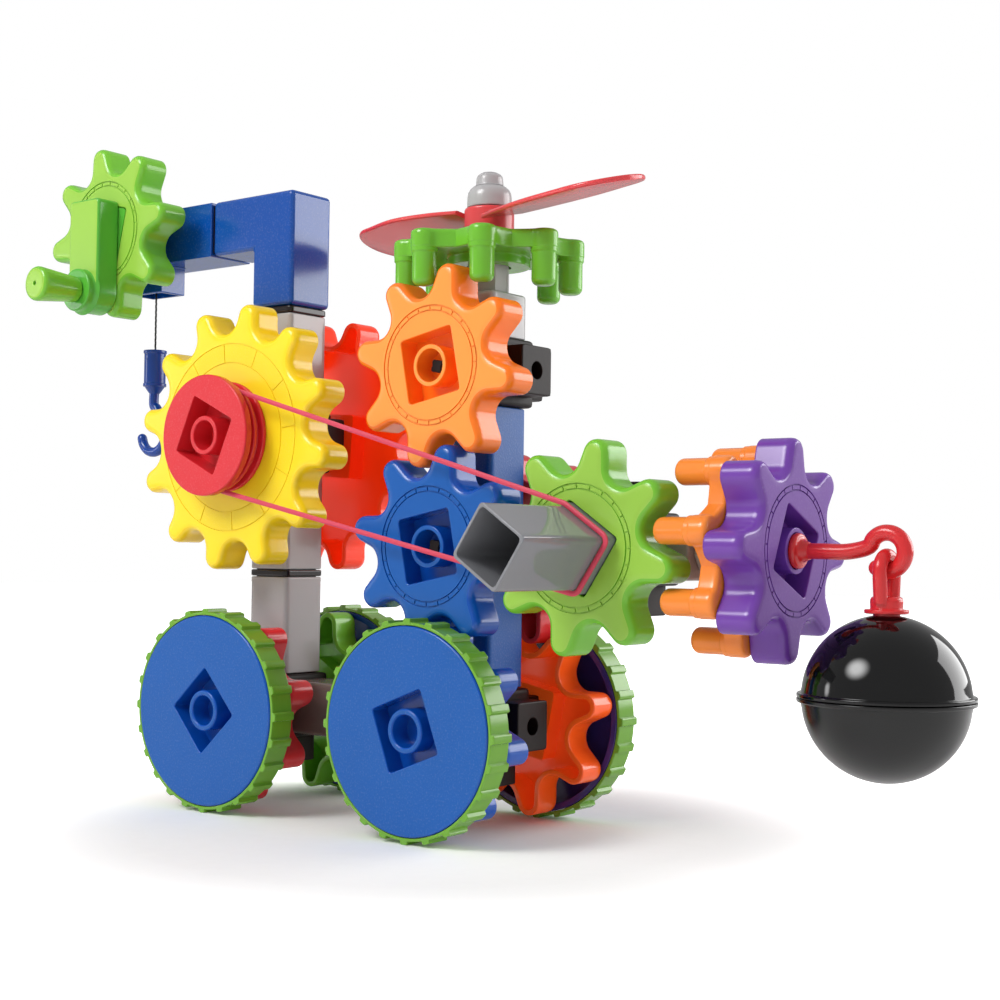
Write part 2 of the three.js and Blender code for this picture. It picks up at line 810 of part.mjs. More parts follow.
// Half of the ball with its rim. The upper one is open for the plug of the eye
function ballShell(upper) {
  const half = gap / 2;
  const hole = upper ? eyePlug + gap : 0;
  const arc = (radius) => Array.from({ length: shellSteps + 1 }, (unused, i) => {
    const angle = (Math.acos(hole / radius) * i) / shellSteps;
    return [i === shellSteps ? hole : radius * Math.cos(angle), half + (radius - half) * Math.sin(angle)];
  });
  const profile = [
    ...arc(ballRadius).slice(1).reverse(),
    [ballRadius, half + ballRimHeight], [ballRim, half + ballRimHeight], [ballRim, half],
    ...arc(ballRadius - ballWall),
  ];
  if (upper) profile.push(profile[0]);
  const solid = spun(profile, roundFacets);
  return upper ? solid : solid.mirror([0, 0, 1]);
}

// Frame: each connector is bored where a pin turns in it or where its end shows
function addConnector(name, x, z, boredAxes) {
  addPiece(name, connector(boredAxes), darkPlastic, place(x, z));
}

addConnector('crane_base_connector', 0, axleHeight, ['near', 'far']);
addConnector('crane_gear_connector', 0, gearZ, ['near', 'far']);
addConnector('rotor_base_connector', columnSpacing, axleHeight, ['near', 'far', 'right']);
addConnector('rotor_mid_connector', columnSpacing, midZ, ['near', 'far']);
addConnector('rotor_top_connector', columnSpacing, topZ, ['near', 'right', 'up']);
addConnector('ball_arm_connector', columnSpacing + pitch, midZ, ['near', 'right', 'up']);

function addPillar(name, material, x, z, direction) {
  const solid = moved(squareTube(pillarLength), 0, 0, coreHalf + gap);
  addPiece(name, solid, material, place(x, z, direction));
}

const firstRing = axleHeight + coreHalf + pillarStep;
addPillar('crane_pillar_lower', grey, 0, axleHeight, 'up');
addPiece(
  'crane_ring_lower',
  joiner(seamRing, pillarSide + ringOverhang, plugReach),
  darkPlastic,
  place(0, firstRing),
);
addPillar('crane_pillar_middle', grey, 0, firstRing + ringStep - coreHalf - 2 * gap, 'up');
addPillar('crane_pillar_upper', grey, 0, gearZ, 'up');
addPiece(
  'crane_ring_upper',
  joiner(seamRing, pillarSide + ringOverhang, plugReach),
  grey,
  place(0, gearZ + coreHalf + pillarStep),
);
addPillar('rotor_pillar_lower', blue, columnSpacing, axleHeight, 'up');
addPillar('rotor_pillar_upper', blue, columnSpacing, midZ, 'up');
addPillar('chassis_pillar_crane', grey, 0, axleHeight, 'right');
addPillar('chassis_pillar_rotor', grey, columnSpacing, axleHeight, 'left');
addPillar('ball_arm_pillar', blue, columnSpacing, midZ, 'right');

// Crane arm
addPiece('crane_elbow', craneElbow(), deepBlue, place(0, 0));
const armPlug = elbowSide - 2 * elbowWall - 2 * gap;
addPiece(
  'arm_joiner',
  joined([
    bar(armPlug, -plugReach, armSeam + plugReach),
    bar(pillarSide, 0, armSeam),
  ]).subtract(bar(stubSide * ringBoreShare, -pitch, pitch)),
  darkPlastic,
  place(elbowEnd - gap, armZ, 'left'),
);
addPiece('winch_housing', winchHousing(), deepBlue, place(0, 0));
const crankGroup = place(winchX, armZ, 'near');
addPiece('winch_spool', winchSpool(), grey, crankGroup);
addPiece('crank_gear', gear(smallTeeth).rotate([0, 0, crankGearTurn]), green, crankGroup);
addPiece('crank_bar', crankBar(), green, crankGroup);
addPiece('crank_knob', moved(crankKnob(), 0, -crankThrow, 0), green, crankGroup);
addPiece('winch_cord', winchCord(), cordBlack, place(0, 0));
addPiece('winch_hook', winchHook(), deepBlue, place(0, 0));

// Gear wall of the crane column
const pulleyGroup = place(0, gearZ, 'near');
addPiece('pulley_gear', gear(largeTeeth).rotate([0, 0, pulleyGearTurn]), yellow, pulleyGroup);
addPiece('belt_pulley', pulley().rotate([0, 0, pulleyGearTurn]), red, pulleyGroup);
addPiece('back_gear', gear(largeTeeth).rotate([0, 0, backGearTurn]), emberOrange, place(0, gearZ, 'far'));

// Gear wall of the rotor column
addPiece('upper_gear', gear(smallTeeth), orange, place(columnSpacing, topZ, 'near', meshTurn));
addPiece('mid_gear', gear(smallTeeth), blue, place(columnSpacing, midZ, 'near', meshTurn));
addPiece('mid_back_gear', gear(smallTeeth), red, place(columnSpacing, midZ, 'far', meshTurn));

const armTurn = meshTurn - 360 / smallTeeth;
const armGroup = place(columnSpacing + pitch, midZ, 'near', armTurn);
addPiece('arm_gear', gear(smallTeeth), green, armGroup);
addPiece('tube_collar', tubeCollar(), grey, armGroup);
addPiece('square_tube', moved(squareTube(tubeLength), 0, 0, gearFace + collarRise + gap), grey, armGroup);
addPiece('drive_band', driveBand(armTurn), bandRubber, place(0, gearZ, 'near'));

// Wheels with the gears they plug into
function addWheel(name, x, side, gearTurn, gearColor, discColor, socketTurn) {
  const group = place(x, axleHeight, side);
  addPiece(`${name}_gear`, gear(smallTeeth).rotate([0, 0, gearTurn]), gearColor, group);
  addPiece(`${name}_disc`, wheelDisc(socketTurn - gearTurn).rotate([0, 0, gearTurn]), discColor, group);
  addPiece(`${name}_tyre`, tyre(), tyreGreen, group);
}

addWheel('near_left_wheel', 0, 'near', freeGearTurn, red, blue, nearLeftWheelTurn);
addWheel('near_right_wheel', columnSpacing, 'near', meshTurn, blue, blue, wheelTurn);
addWheel('far_left_wheel', 0, 'far', farGearTurn, green, deepBlue, nearLeftWheelTurn);
addWheel('far_right_wheel', columnSpacing, 'far', meshTurn, emberOrange, purple, wheelTurn);

// Propeller on the rotor column
const rotorGroup = place(columnSpacing, topZ);
const crownMesh = place(columnSpacing, topZ, 'up', -meshTurn);
addPiece('rotor_axle_seat', axleSeat(), grey, rotorGroup);
addPiece('rotor_shaft', rotorShaft(), grey, rotorGroup);
addPiece('rotor_crown_gear', crownGear(), green, crownMesh);
addPiece('propeller', propeller(-meshTurn), red, rotorGroup);
addPiece('propeller_cap', propellerCap(), grey, rotorGroup);

function rotorShaft() {
  const shoulder = crownTop + propellerHubHeight;
  return axleShaft(shoulder, false).rotate([0, 0, -meshTurn])
    .add(rod(journalRadius, shoulder - overrun, shoulder + capStep / 2, shaftFacets));
}

// Ball arm
const ballX = columnSpacing + pitch;
const ballGroup = place(ballX, midZ, 'right');
const ballMesh = place(ballX, midZ, 'right', -meshTurn);
addPiece('ball_axle_seat', axleSeat(), grey, ballGroup);
addPiece('ball_shaft', axleShaft(crownTop - gap, true), grey, ballMesh);
addPiece('ball_crown_gear', crownGear(), orange, ballMesh);
const purpleShift = crownTop + gap - gearSetOut;
addPiece('hook_gear', moved(gear(smallTeeth), 0, 0, purpleShift).rotate([0, 0, armTurn + hookGearTurn]),
  purple, ballGroup);
addPiece('swing_hook', swingHook(swingSetOut), red, ballGroup);

const hangGroup = place(ballX + swingSetOut, midZ);
addPiece('ball_eye', ballEye(), red, hangGroup);
addPiece('ball_upper_shell', moved(ballShell(true), 0, 0, -ballDrop), ballBlack, hangGroup);
addPiece('ball_lower_shell', moved(ballShell(false), 0, 0, -ballDrop), ballBlack, hangGroup);

// Stands the whole on the ground with its middle over the origin
const object = new THREE.Group();
object.add(whole);
object.updateMatrixWorld(true);
const bounds = new THREE.Box3();
whole.traverse((node) => {
  if (node.isMesh) bounds.union(new THREE.Box3().setFromObject(node, true));
});
const middle = bounds.getCenter(new THREE.Vector3());
whole.position.set(-middle.x, -middle.y, -bounds.min.z);
object.updateMatrixWorld(true);

export default object;
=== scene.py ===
import bpy
import bmesh
import json
import math
from mathutils import Matrix, Vector


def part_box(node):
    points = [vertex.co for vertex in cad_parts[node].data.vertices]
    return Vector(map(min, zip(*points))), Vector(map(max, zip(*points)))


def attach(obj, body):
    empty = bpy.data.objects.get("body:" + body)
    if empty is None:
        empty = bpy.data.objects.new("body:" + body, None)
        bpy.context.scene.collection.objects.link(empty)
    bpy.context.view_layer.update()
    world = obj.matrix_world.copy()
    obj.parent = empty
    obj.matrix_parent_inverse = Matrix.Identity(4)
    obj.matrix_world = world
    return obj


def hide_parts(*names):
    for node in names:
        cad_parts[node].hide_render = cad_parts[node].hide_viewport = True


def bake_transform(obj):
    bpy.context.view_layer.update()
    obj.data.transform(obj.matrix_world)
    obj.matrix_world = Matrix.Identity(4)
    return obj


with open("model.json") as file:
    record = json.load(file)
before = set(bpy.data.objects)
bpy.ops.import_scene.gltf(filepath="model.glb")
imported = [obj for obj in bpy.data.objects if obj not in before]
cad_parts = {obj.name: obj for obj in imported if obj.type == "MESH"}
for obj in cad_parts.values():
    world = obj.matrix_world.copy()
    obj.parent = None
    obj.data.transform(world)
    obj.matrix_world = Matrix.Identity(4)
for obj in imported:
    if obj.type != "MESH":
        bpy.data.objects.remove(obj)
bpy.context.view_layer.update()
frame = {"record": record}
mm = 0.001                     # every size below is in millimetres, every angle in degrees
scene = bpy.context.scene


def middleOf(node):
    low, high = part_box(node)
    return (low + high) / 2 / mm


# Centres of the columns and axles, from the frame
craneBase = middleOf("crane_base_connector")
craneGear = middleOf("crane_gear_connector")
rotorBase = middleOf("rotor_base_connector")
rotorMid = middleOf("rotor_mid_connector")
rotorTop = middleOf("rotor_top_connector")
armEnd = middleOf("ball_arm_connector")
spoolMiddle = middleOf("winch_spool")
winchAxis = Vector((spoolMiddle.x, craneBase.y, spoolMiddle.z))

# Camera: the photograph's place, measured from the foot of the crane column
camera = {
    "fromCrane": (459.4, -456.0, 99.5), "yaw": 37.755, "pitch": 1.743, "roll": 0.719, "focalPixels": 1623.0,
    "sensor": 36.0, "framePixels": 1000.0,
}


def makeCamera(s):
    yaw, pitch, roll = (math.radians(s[k]) for k in ("yaw", "pitch", "roll"))
    forward = Vector((-math.sin(yaw) * math.cos(pitch), math.cos(yaw) * math.cos(pitch), math.sin(pitch)))
    right = Vector((math.cos(yaw), math.sin(yaw), 0))
    up = right.cross(forward)
    turnedRight = math.cos(roll) * right + math.sin(roll) * up
    turnedUp = -math.sin(roll) * right + math.cos(roll) * up
    data = bpy.data.cameras.new("camera")
    data.sensor_width = s["sensor"]
    data.lens = s["focalPixels"] * s["sensor"] / s["framePixels"]
    data.clip_start = 0.01
    body = bpy.data.objects.new("camera", data)
    foot = Vector((craneBase.x, craneBase.y, 0))
    place = Matrix((turnedRight, turnedUp, -forward)).transposed().to_4x4()
    body.matrix_world = Matrix.Translation((foot + Vector(s["fromCrane"])) * mm) @ place
    scene.collection.objects.link(body)
    scene.camera = body


makeCamera(camera)
print("camera in place")


# Materials
def hexColour(text):
    # From sRGB to linear light
    parts = [int(text[i:i + 2], 16) / 255 for i in (1, 3, 5)]
    return tuple(p / 12.92 if p <= 0.04045 else ((p + 0.055) / 1.055) ** 2.4 for p in parts) + (1,)


def addNode(tree, kind, links=None, **settings):
    node = tree.nodes.new(kind)
    for key, value in settings.items():
        if key.startswith("in_"):
            node.inputs[key[3:].replace("_", " ")].default_value = value
        else:
            setattr(node, key, value)
    for target, source in (links or {}).items():
        tree.links.new(source, node.inputs[target])
    return node


def clearTree(owner):
    owner.use_nodes = True
    owner.node_tree.nodes.clear()
    return owner.node_tree


# Skins: gloss is the roughness, grain and depth are in millimetres, and the last key is the share of pale
# specks, painted glints on the pebble
finishes = {
    # Injection moulded ABS: a clear gloss over a skin that waves by a hair
    "mouldedAbs": {"gloss": 0.2, "ior": 1.5, "grain": 9.0, "detail": 1.0, "depth": 0.05, "bump": 0.5,
                   "shade": 0.06, "glintShare": 0.0},
    # The same ABS from a spark eroded mould: a fine pebble that scatters the gloss. The real one is about
    # 0.1 mm wide, and is drawn at 0.7 mm so that it shows
    "erodedAbs": {"gloss": 0.42, "ior": 1.42, "grain": 0.7, "detail": 4.0, "depth": 0.11, "bump": 0.7,
                  "shade": 0.1, "glintShare": 0.04},
    # The dark connectors are rubbed dull, and mirror next to nothing
    "rubbedAbs": {"gloss": 0.5, "ior": 1.33, "grain": 2.5, "detail": 3.0, "depth": 0.06, "bump": 0.5,
                  "shade": 0.25, "glintShare": 0.0},
    # The purple gear's face is dull, and mirrors no edge of a lamp
    "dullAbs": {"gloss": 0.6, "ior": 1.38, "grain": 0.9, "detail": 3.0, "depth": 0.06, "bump": 0.5,
                "shade": 0.1, "glintShare": 0.02},
    # The arm of the crane mirrors the window through a fine grain, drawn as coarse as the pebble
    "grainedAbs": {"gloss": 0.17, "ior": 1.58, "grain": 0.7, "detail": 3.0, "depth": 0.05, "bump": 0.45,
                   "shade": 0.12, "glintShare": 0.03},
    # A satin face, where the mould was blasted and not eroded
    "satinAbs": {"gloss": 0.3, "ior": 1.45, "grain": 5.0, "detail": 2.0, "depth": 0.06, "bump": 0.5,
                 "shade": 0.06, "glintShare": 0.0},
    # From a polished mould: near a mirror, with hardly a wave in it
    "polishedAbs": {"gloss": 0.06, "ior": 1.46, "grain": 16.0, "detail": 1.0, "depth": 0.03, "bump": 0.3,
                    "shade": 0.02, "glintShare": 0.0},
    # Rolled elastic rubber: dull, with a faint grain
    "stretchedRubber": {"gloss": 0.5, "ior": 1.4, "grain": 0.9, "detail": 3.0, "depth": 0.05, "bump": 0.4,
                        "shade": 0.12, "glintShare": 0.0},
    # Twisted fibres that scatter all gloss, drawn at 0.25 mm so that they show
    "twistedNylon": {"gloss": 0.55, "ior": 1.53, "grain": 0.25, "detail": 2.0, "depth": 0.05, "bump": 0.6,
                     "shade": 0.2, "glintShare": 0.0},
}
# Cloud is the width of the slow changes in shade, and the pale specks, painted glints, show where the grain's
# height is in their range
skinForm = {"cloud": 26.0, "cloudDetail": 2.0, "glintFrom": 0.52, "glintTo": 0.72, "paintedGlint": (1, 1, 1, 1)}
ready = {}                     # the materials made so far


def plastic(name, finish="mouldedAbs", colour=None, glow=0.0, skin=skinForm):
    # Glow is painted light: an emission of the plastic's own colour, for the light that a thin bright wall
    # lets through
    key = f"{finish}{name}"
    if key in ready:
        return ready[key]
    s = finishes[finish]
    light = hexColour(colour or colours[name])
    shaded = tuple(c * (1 - s["shade"]) for c in light[:3]) + (1,)
    material = bpy.data.materials.new(key)
    tree = clearTree(material)
    place = addNode(tree, "ShaderNodeTexCoord").outputs["Object"]
    cloud = addNode(tree, "ShaderNodeTexNoise", {"Vector": place},
                    in_Scale=1 / (skin["cloud"] * mm), in_Detail=skin["cloudDetail"])
    paint = addNode(tree, "ShaderNodeMix", {"Factor": cloud.outputs["Fac"]}, data_type="RGBA", in_A=shaded,
                    in_B=light)
    grain = addNode(tree, "ShaderNodeTexNoise", {"Vector": place},
                    in_Scale=1 / (s["grain"] * mm), in_Detail=s["detail"])
    # Painted glints: white specks mixed into the colour where the grain stands high
    if s["glintShare"]:
        paintedGlint = addNode(tree, "ShaderNodeMapRange", {"Value": grain.outputs["Fac"]},
                        in_From_Min=skin["glintFrom"], in_From_Max=skin["glintTo"], in_To_Max=s["glintShare"])
        paint = addNode(tree, "ShaderNodeMix", {"Factor": paintedGlint.outputs[0], "A": paint.outputs["Result"]},
                        data_type="RGBA", in_B=skin["paintedGlint"])
    bump = addNode(tree, "ShaderNodeBump", {"Height": grain.outputs["Fac"]},
                   in_Strength=s["bump"], in_Distance=s["depth"] * mm)
    shader = addNode(tree, "ShaderNodeBsdfPrincipled",
                     {"Base Color": paint.outputs["Result"], "Normal": bump.outputs["Normal"]},
                     in_Roughness=s["gloss"], in_IOR=s["ior"])
    # Painted light: the plastic gives off a little light of its own colour
    if glow:
        shader.inputs["Emission Color"].default_value = light
        shader.inputs["Emission Strength"].default_value = glow
    addNode(tree, "ShaderNodeOutputMaterial", {"Surface": shader.outputs["BSDF"]})
    ready[key] = material
    return material


# Three colours are painted shade: the deeper orange of the far right wheel gear, the darker green of the
# crown gear under the propeller, and the darker green of the crank bar's sides
colours = {
    "Green": "#78c334", "Orange": "#ff7c1c", "Ember": "#ff3a0c", "Yellow": "#ffd91c", "Red": "#e0353a",
    "Blue": "#0850b0", "DeepBlue": "#113f96", "Grey": "#b1afb0", "Brown": "#190d0a", "Purple": "#7442a8",
    "Black": "#070708", "Tread": "#6fa830", "Chassis": "#6e6560", "Violet": "#3b3078", "Pulley": "#d92832",
    "Band": "#d9465e", "Tube": "#86878b", "Hook": "#d92c2f", "Cord": "#15151a", "ArmBlue": "#0048a0",
    "Propeller": "#e2464a", "LowerBlack": "#0c0c0c", "DeepOrange": "#ff5f1c", "Crown": "#6fba30",
    "PegOrange": "#ff8f38", "BarSide": "#58b23a",
}
# Front faces that differ from their sides: most are paler, partly from the white that their pebbled skin
# scatters and partly as painted sheen
faceColoursWithSheen = {
    "Green": "#9aca4a", "Orange": "#fb9d45", "Yellow": "#fde024", "Blue": "#0a59ab", "Purple": "#6f409c",
    "Pulley": "#dc2c36",
}
# Painted light: these orange plastics give off a little light of their own, for the light their thin walls
# let through
paintedGlowOf = {"Ember": 0.2, "DeepOrange": 0.12, "Orange": 0.03}
faceFinishes = {"Purple": "dullAbs"}


def finishPair(colour, face="erodedAbs"):
    # The skin of the sides, then that of the front face
    return [plastic(colour, glow=paintedGlowOf.get(colour, 0.0)),
            plastic(colour, faceFinishes.get(colour, face), faceColoursWithSheen.get(colour))]


# Places: a solid made along +Z is turned to its axis, then moved to its centre
facing = {
    "up": Matrix.Identity(3), "down": Matrix.Rotation(math.pi, 3, "X"),
    "near": Matrix.Rotation(math.pi / 2, 3, "X"), "far": Matrix.Rotation(-math.pi / 2, 3, "X"),
    "right": Matrix.Rotation(math.pi / 2, 3, "Y"), "left": Matrix.Rotation(-math.pi / 2, 3, "Y"),
}


def placeAt(centre, direction="up", turn=0.0):
    spin = Matrix.Rotation(math.radians(turn), 4, "Z")
    return Matrix.Translation(centre) @ facing[direction].to_4x4() @ spin


# Sections: loops with the same count of points, so that one loop can follow another
def arcPoints(centre, radius, fromDegrees, toDegrees, count):
    points = []
    for i in range(count + 1):
        a = math.radians(fromDegrees + (toDegrees - fromDegrees) * i / count)
        points.append(Vector((centre[0] + radius * math.cos(a), centre[1] + radius * math.sin(a))))
    return points


# A tooth is a round tip on flanks that lean by a few degrees, and the valleys are round
toothForm = {"tipRadius": 4.7, "addendum": 4.4, "dedendum": 6.7, "module": 7.775, "lean": {8: 12.0, 12: 9.0},
             "tipSteps": 7, "filletSteps": 9}


def halfTooth(teeth, reach, s=toothForm):
    pitchRadius = s["module"] * teeth / 2
    root = pitchRadius - s["dedendum"]
    half = math.pi / teeth
    lean = math.radians(s["lean"][teeth])
    tipCentre = pitchRadius + s["addendum"] - s["tipRadius"]
    slope = math.sin(lean + half)
    fillet = (root * slope - tipCentre * math.sin(lean) - s["tipRadius"]) / (1 - slope)
    filletCentre = Vector((math.cos(half), math.sin(half))) * (root + fillet)
    leave = 90 - s["lean"][teeth]
    tip = arcPoints((tipCentre, 0), s["tipRadius"] + reach, 0, leave, s["tipSteps"])
    valley = arcPoints(filletCentre, fillet - reach, leave + 180, 180 + math.degrees(half), s["filletSteps"])
    return tip + valley


def gearLoop(teeth, reach):
    half = halfTooth(teeth, reach)
    tooth = [Vector((p.x, -p.y)) for p in reversed(half[1:-1])] + half
    loop = []
    for i in range(teeth):
        turn = Matrix.Rotation(2 * math.pi * i / teeth, 2)
        loop += [turn @ p for p in tooth]
    return loop


def squareReach(angle, half, corner):
    folded = abs((math.degrees(angle) + 45) % 90 - 45)
    a = math.radians(folded)
    if half * math.tan(a) <= half - corner:
        return half / math.cos(a)
    centre = (half - corner) * math.sqrt(2)
    off = math.radians(45) - a
    return centre * math.cos(off) + math.sqrt(max(corner ** 2 - (centre * math.sin(off)) ** 2, 0))


def makeSection(outline=None, count=96, squareTurn=0.0, corner=1.2, inset=0.0):
    # Circles and squares take their points at the angles of the outline's inner edge
    if outline:
        angles = [math.atan2(p.y, p.x) for p in outline(-inset)]
    else:
        angles = [2 * math.pi * i / count for i in range(count)]
    size = min(p.length for p in outline(0)) if outline else 0.0
    return {"outline": outline, "angles": angles, "size": size, "squareTurn": math.radians(squareTurn),
            "corner": corner}


def loopOf(section, shape, reach):
    if shape == "outline":
        return section["outline"](reach)
    if shape == "circle":
        return [Vector((reach * math.cos(a), reach * math.sin(a))) for a in section["angles"]]
    loop = []
    for a in section["angles"]:
        r = squareReach(a - section["squareTurn"], reach, min(section["corner"], reach * 0.9))
        loop.append(Vector((r * math.cos(a), r * math.sin(a))))
    return loop


# A path is a list of (shape, reach, height, rounding). Corners with a rounding become arcs, with a short
# straight piece left at both ends of each, so that the shading turns on the arc alone
def roundedPath(path, outlineSize=0.0, closed=False, steps=4, holdShare=0.25):
    size = [p[1] + (outlineSize if p[0] == "outline" else 0) for p in path]
    rings = []
    count = len(path)
    for i, (shape, reach, height, rounding) in enumerate(path):
        here = Vector((reach, height))
        before = path[i - 1] if i or closed else None
        after = path[(i + 1) % count] if i + 1 < count or closed else None
        if not rounding or before is None or after is None:
            rings.append((shape, reach, height))
            continue

        def toward(other, otherSize):
            if other[0] == shape:
                return (Vector((other[1], other[2])) - here).normalized()
            return Vector((1 if otherSize > size[i] else -1, 0))

        back = toward(before, size[i - 1])
        onward = toward(after, size[(i + 1) % count])
        turn = math.pi - back.angle(onward)
        cut = rounding * math.tan(turn / 2)
        hold = rounding * holdShare
        start, end = here + back * cut, here + onward * cut
        spots = [start + back * hold]
        for k in range(steps + 1):
            t = k / steps
            spots.append(start * (1 - t) ** 2 + here * 2 * t * (1 - t) + end * t ** 2)
        spots.append(end + onward * hold)
        rings += [(shape, spot.x, spot.y) for spot in spots]
    return rings


def shellFrom(name, section, path, place, materials, closed=False, texturedFaces=True):
    shell = bmesh.new()
    loops = []
    for shape, reach, height in roundedPath(path, section["size"], closed):
        if shape == "circle" and reach <= 0:
            loops.append([shell.verts.new((0, 0, height))])
            continue
        loops.append([shell.verts.new((p.x, p.y, height)) for p in loopOf(section, shape, reach)])
    pairs = list(zip(loops, loops[1:])) + ([(loops[-1], loops[0])] if closed else [])
    for one, other in pairs:
        count = max(len(one), len(other))
        for k in range(count):
            corners = []
            for v in (one[k % len(one)], one[(k + 1) % len(one)],
                      other[(k + 1) % len(other)], other[k % len(other)]):
                if v not in corners:
                    corners.append(v)
            if len(corners) > 2:
                shell.faces.new(corners)
    return finishMesh(shell, name, place, materials, texturedFaces)


def loftShell(name, loops, place, materials, closed=False, scale=mm):
    # Loops with the same count of points, joined in turn, and capped or led back to the first
    shell = bmesh.new()
    rows = [[shell.verts.new(p) for p in loop] for loop in loops]
    for one, other in zip(rows, rows[1:] + (rows[:1] if closed else [])):
        for k in range(len(one)):
            n = (k + 1) % len(one)
            shell.faces.new((one[k], one[n], other[n], other[k]))
    if not closed:
        shell.faces.new(rows[0])
        shell.faces.new(rows[-1])
    return finishMesh(shell, name, place, materials, scale=scale)


# Edges above the sharp angle stay sharp. A front face looks forward and lies near the foremost point. Front
# faces take the second material, whose colour is for some plastics paler, partly painted sheen.
shading = {"sharp": 38, "front": 1.0, "forward": 0.97}


def finishMesh(shell, name, place, materials, texturedFaces=False, scale=mm, s=shading):
    bmesh.ops.recalc_face_normals(shell, faces=shell.faces)
    front = max(v.co.z for v in shell.verts) - s["front"]
    for face in shell.faces:
        face.smooth = True
        flat = face.normal.z > s["forward"] and face.calc_center_median().z > front
        face.material_index = 1 if texturedFaces and len(materials) > 1 and flat else 0
    shell.transform(Matrix.Scale(scale, 4) @ place)
    mesh = bpy.data.meshes.new(name)
    shell.to_mesh(mesh)
    shell.free()
    mesh.set_sharp_from_angle(angle=math.radians(s["sharp"]))
    for material in materials:
        mesh.materials.append(material)
    piece = bpy.data.objects.new(mesh.name, mesh)
    scene.collection.objects.link(piece)
    return piece


bodyOf = {node: body for body, nodes in frame["record"]["behaviour"]["bodies"].items() for node in nodes}


def joinPieces(pieces):
    whole = pieces[0]
    if len(pieces) > 1:
        with bpy.context.temp_override(active_object=whole, selected_editable_objects=pieces):
            bpy.ops.object.join()
    return whole


def standIn(node, pieces):
    piece = joinPieces(pieces if isinstance(pieces, list) else [pieces])
    piece.name = f"{node}_piece"
    piece.data.name = piece.name
    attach(piece, bodyOf[node])
    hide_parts(node)
    return piece


# Copies of one solid, turned about Z in equal steps by a node tree
def turnedCopies(name, loops, count, materials, place, firstDegrees=0.0):
    template = loftShell(f"{name}One", loops, Matrix.Identity(4), [], scale=1.0)
    tree = bpy.data.node_groups.new(f"{name}Ring", "GeometryNodeTree")
    face = tree.interface
    face.new_socket("Geometry", in_out="INPUT", socket_type="NodeSocketGeometry")
    counts = face.new_socket("Count", in_out="INPUT", socket_type="NodeSocketInt")
    source = face.new_socket("Template", in_out="INPUT", socket_type="NodeSocketObject")
    first = face.new_socket("First turn", in_out="INPUT", socket_type="NodeSocketFloat")
    face.new_socket("Geometry", in_out="OUTPUT", socket_type="NodeSocketGeometry")
    given = addNode(tree, "NodeGroupInput")
    points = addNode(tree, "GeometryNodePoints", {"Count": given.outputs["Count"]})
    index = addNode(tree, "GeometryNodeInputIndex")
    share = addNode(tree, "ShaderNodeMath", {0: index.outputs[0], 1: given.outputs["Count"]},
                    operation="DIVIDE")
    swing = addNode(tree, "ShaderNodeMath", {0: share.outputs[0], 2: given.outputs["First turn"]},
                    operation="MULTIPLY_ADD")
    swing.inputs[1].default_value = 2 * math.pi
    turn = addNode(tree, "ShaderNodeCombineXYZ", {"Z": swing.outputs[0]})
    shape = addNode(tree, "GeometryNodeObjectInfo", {"Object": given.outputs["Template"]})
    copies = addNode(tree, "GeometryNodeInstanceOnPoints",
                     {"Points": points.outputs[0], "Instance": shape.outputs["Geometry"],
                      "Rotation": turn.outputs[0]})
    real = addNode(tree, "GeometryNodeRealizeInstances", {"Geometry": copies.outputs[0]})
    painted = addNode(tree, "GeometryNodeSetMaterial", {"Geometry": real.outputs[0]},
                      in_Material=materials[0])
    addNode(tree, "NodeGroupOutput", {"Geometry": painted.outputs[0]})
    holder = bpy.data.objects.new(name, bpy.data.meshes.new(name))
    scene.collection.objects.link(holder)
    modifier = holder.modifiers.new("copies", "NODES")
    modifier.node_group = tree
    modifier[counts.identifier] = count
    modifier[source.identifier] = template
    modifier[first.identifier] = math.radians(firstDegrees)
    shot = holder.evaluated_get(bpy.context.evaluated_depsgraph_get())
    mesh = bpy.data.meshes.new_from_object(shot)
    mesh.transform(Matrix.Scale(mm, 4) @ place)
    holder.modifiers.clear()
    old = holder.data
    holder.data = mesh
    bpy.data.meshes.remove(old)
    bpy.data.objects.remove(template)
    return holder


# Gears: lobed rim, thin walls open to the back, square socket with a round boss
gearForm = {
    "back": 19.2, "face": 32.2, "frontWall": 2.2, "rimWall": 2.0, "faceRound": 2.9, "backRound": 0.5,
    "socketHalf": 11.35, "socketWall": 1.4, "socketCorner": 1.1, "socketRound": 0.45, "floor": 1.45,
    "floorBack": 22.45, "bossRadius": 7.3, "bossBore": 5.7, "bossRound": 0.4, "pin": 2.7, "pinFoot": 14.05,
    "crownSeat": 48.3, "pinEnd": 2.3, "pinLobe": 0.4, "pinLobes": 4, "pinPoints": 48, "pinRise": 4.6,
    "pinSink": 0.3,
}
# Engraved ring of each size of gear: two circles, with bricks between them that leave fine lines
engraving = {
    8: {"in": 18.7, "out": 20.9, "line": 0.5, "depth": 0.5, "bricks": 24, "gap": 1.5, "first": 4.0,
        "steps": 4, "skin": "satinAbs", "sink": 0.05, "below": 0.02},
    12: {"in": 28.2, "out": 35.8, "line": 0.35, "depth": 0.4, "bricks": 12, "gap": 0.7, "first": 0.0,
         "steps": 12, "skin": "erodedAbs", "sink": 0.05, "below": 0.02},
}


def ringBricks(name, materials, place, e, face):
    inner, outer = e["in"] + e["line"], e["out"] - e["line"]
    half = math.pi / e["bricks"] - math.radians(e["gap"]) / 2
    ends = [half * (2 * i / e["steps"] - 1) for i in range(e["steps"] + 1)]
    base = [(outer * math.cos(a), outer * math.sin(a)) for a in ends]
    base += [(inner * math.cos(a), inner * math.sin(a)) for a in reversed(ends)]
    loops = [[(x, y, z) for x, y in base] for z in (face - e["depth"] - e["sink"], face - e["below"])]
    return turnedCopies(name, loops, e["bricks"], materials, place, e["first"])


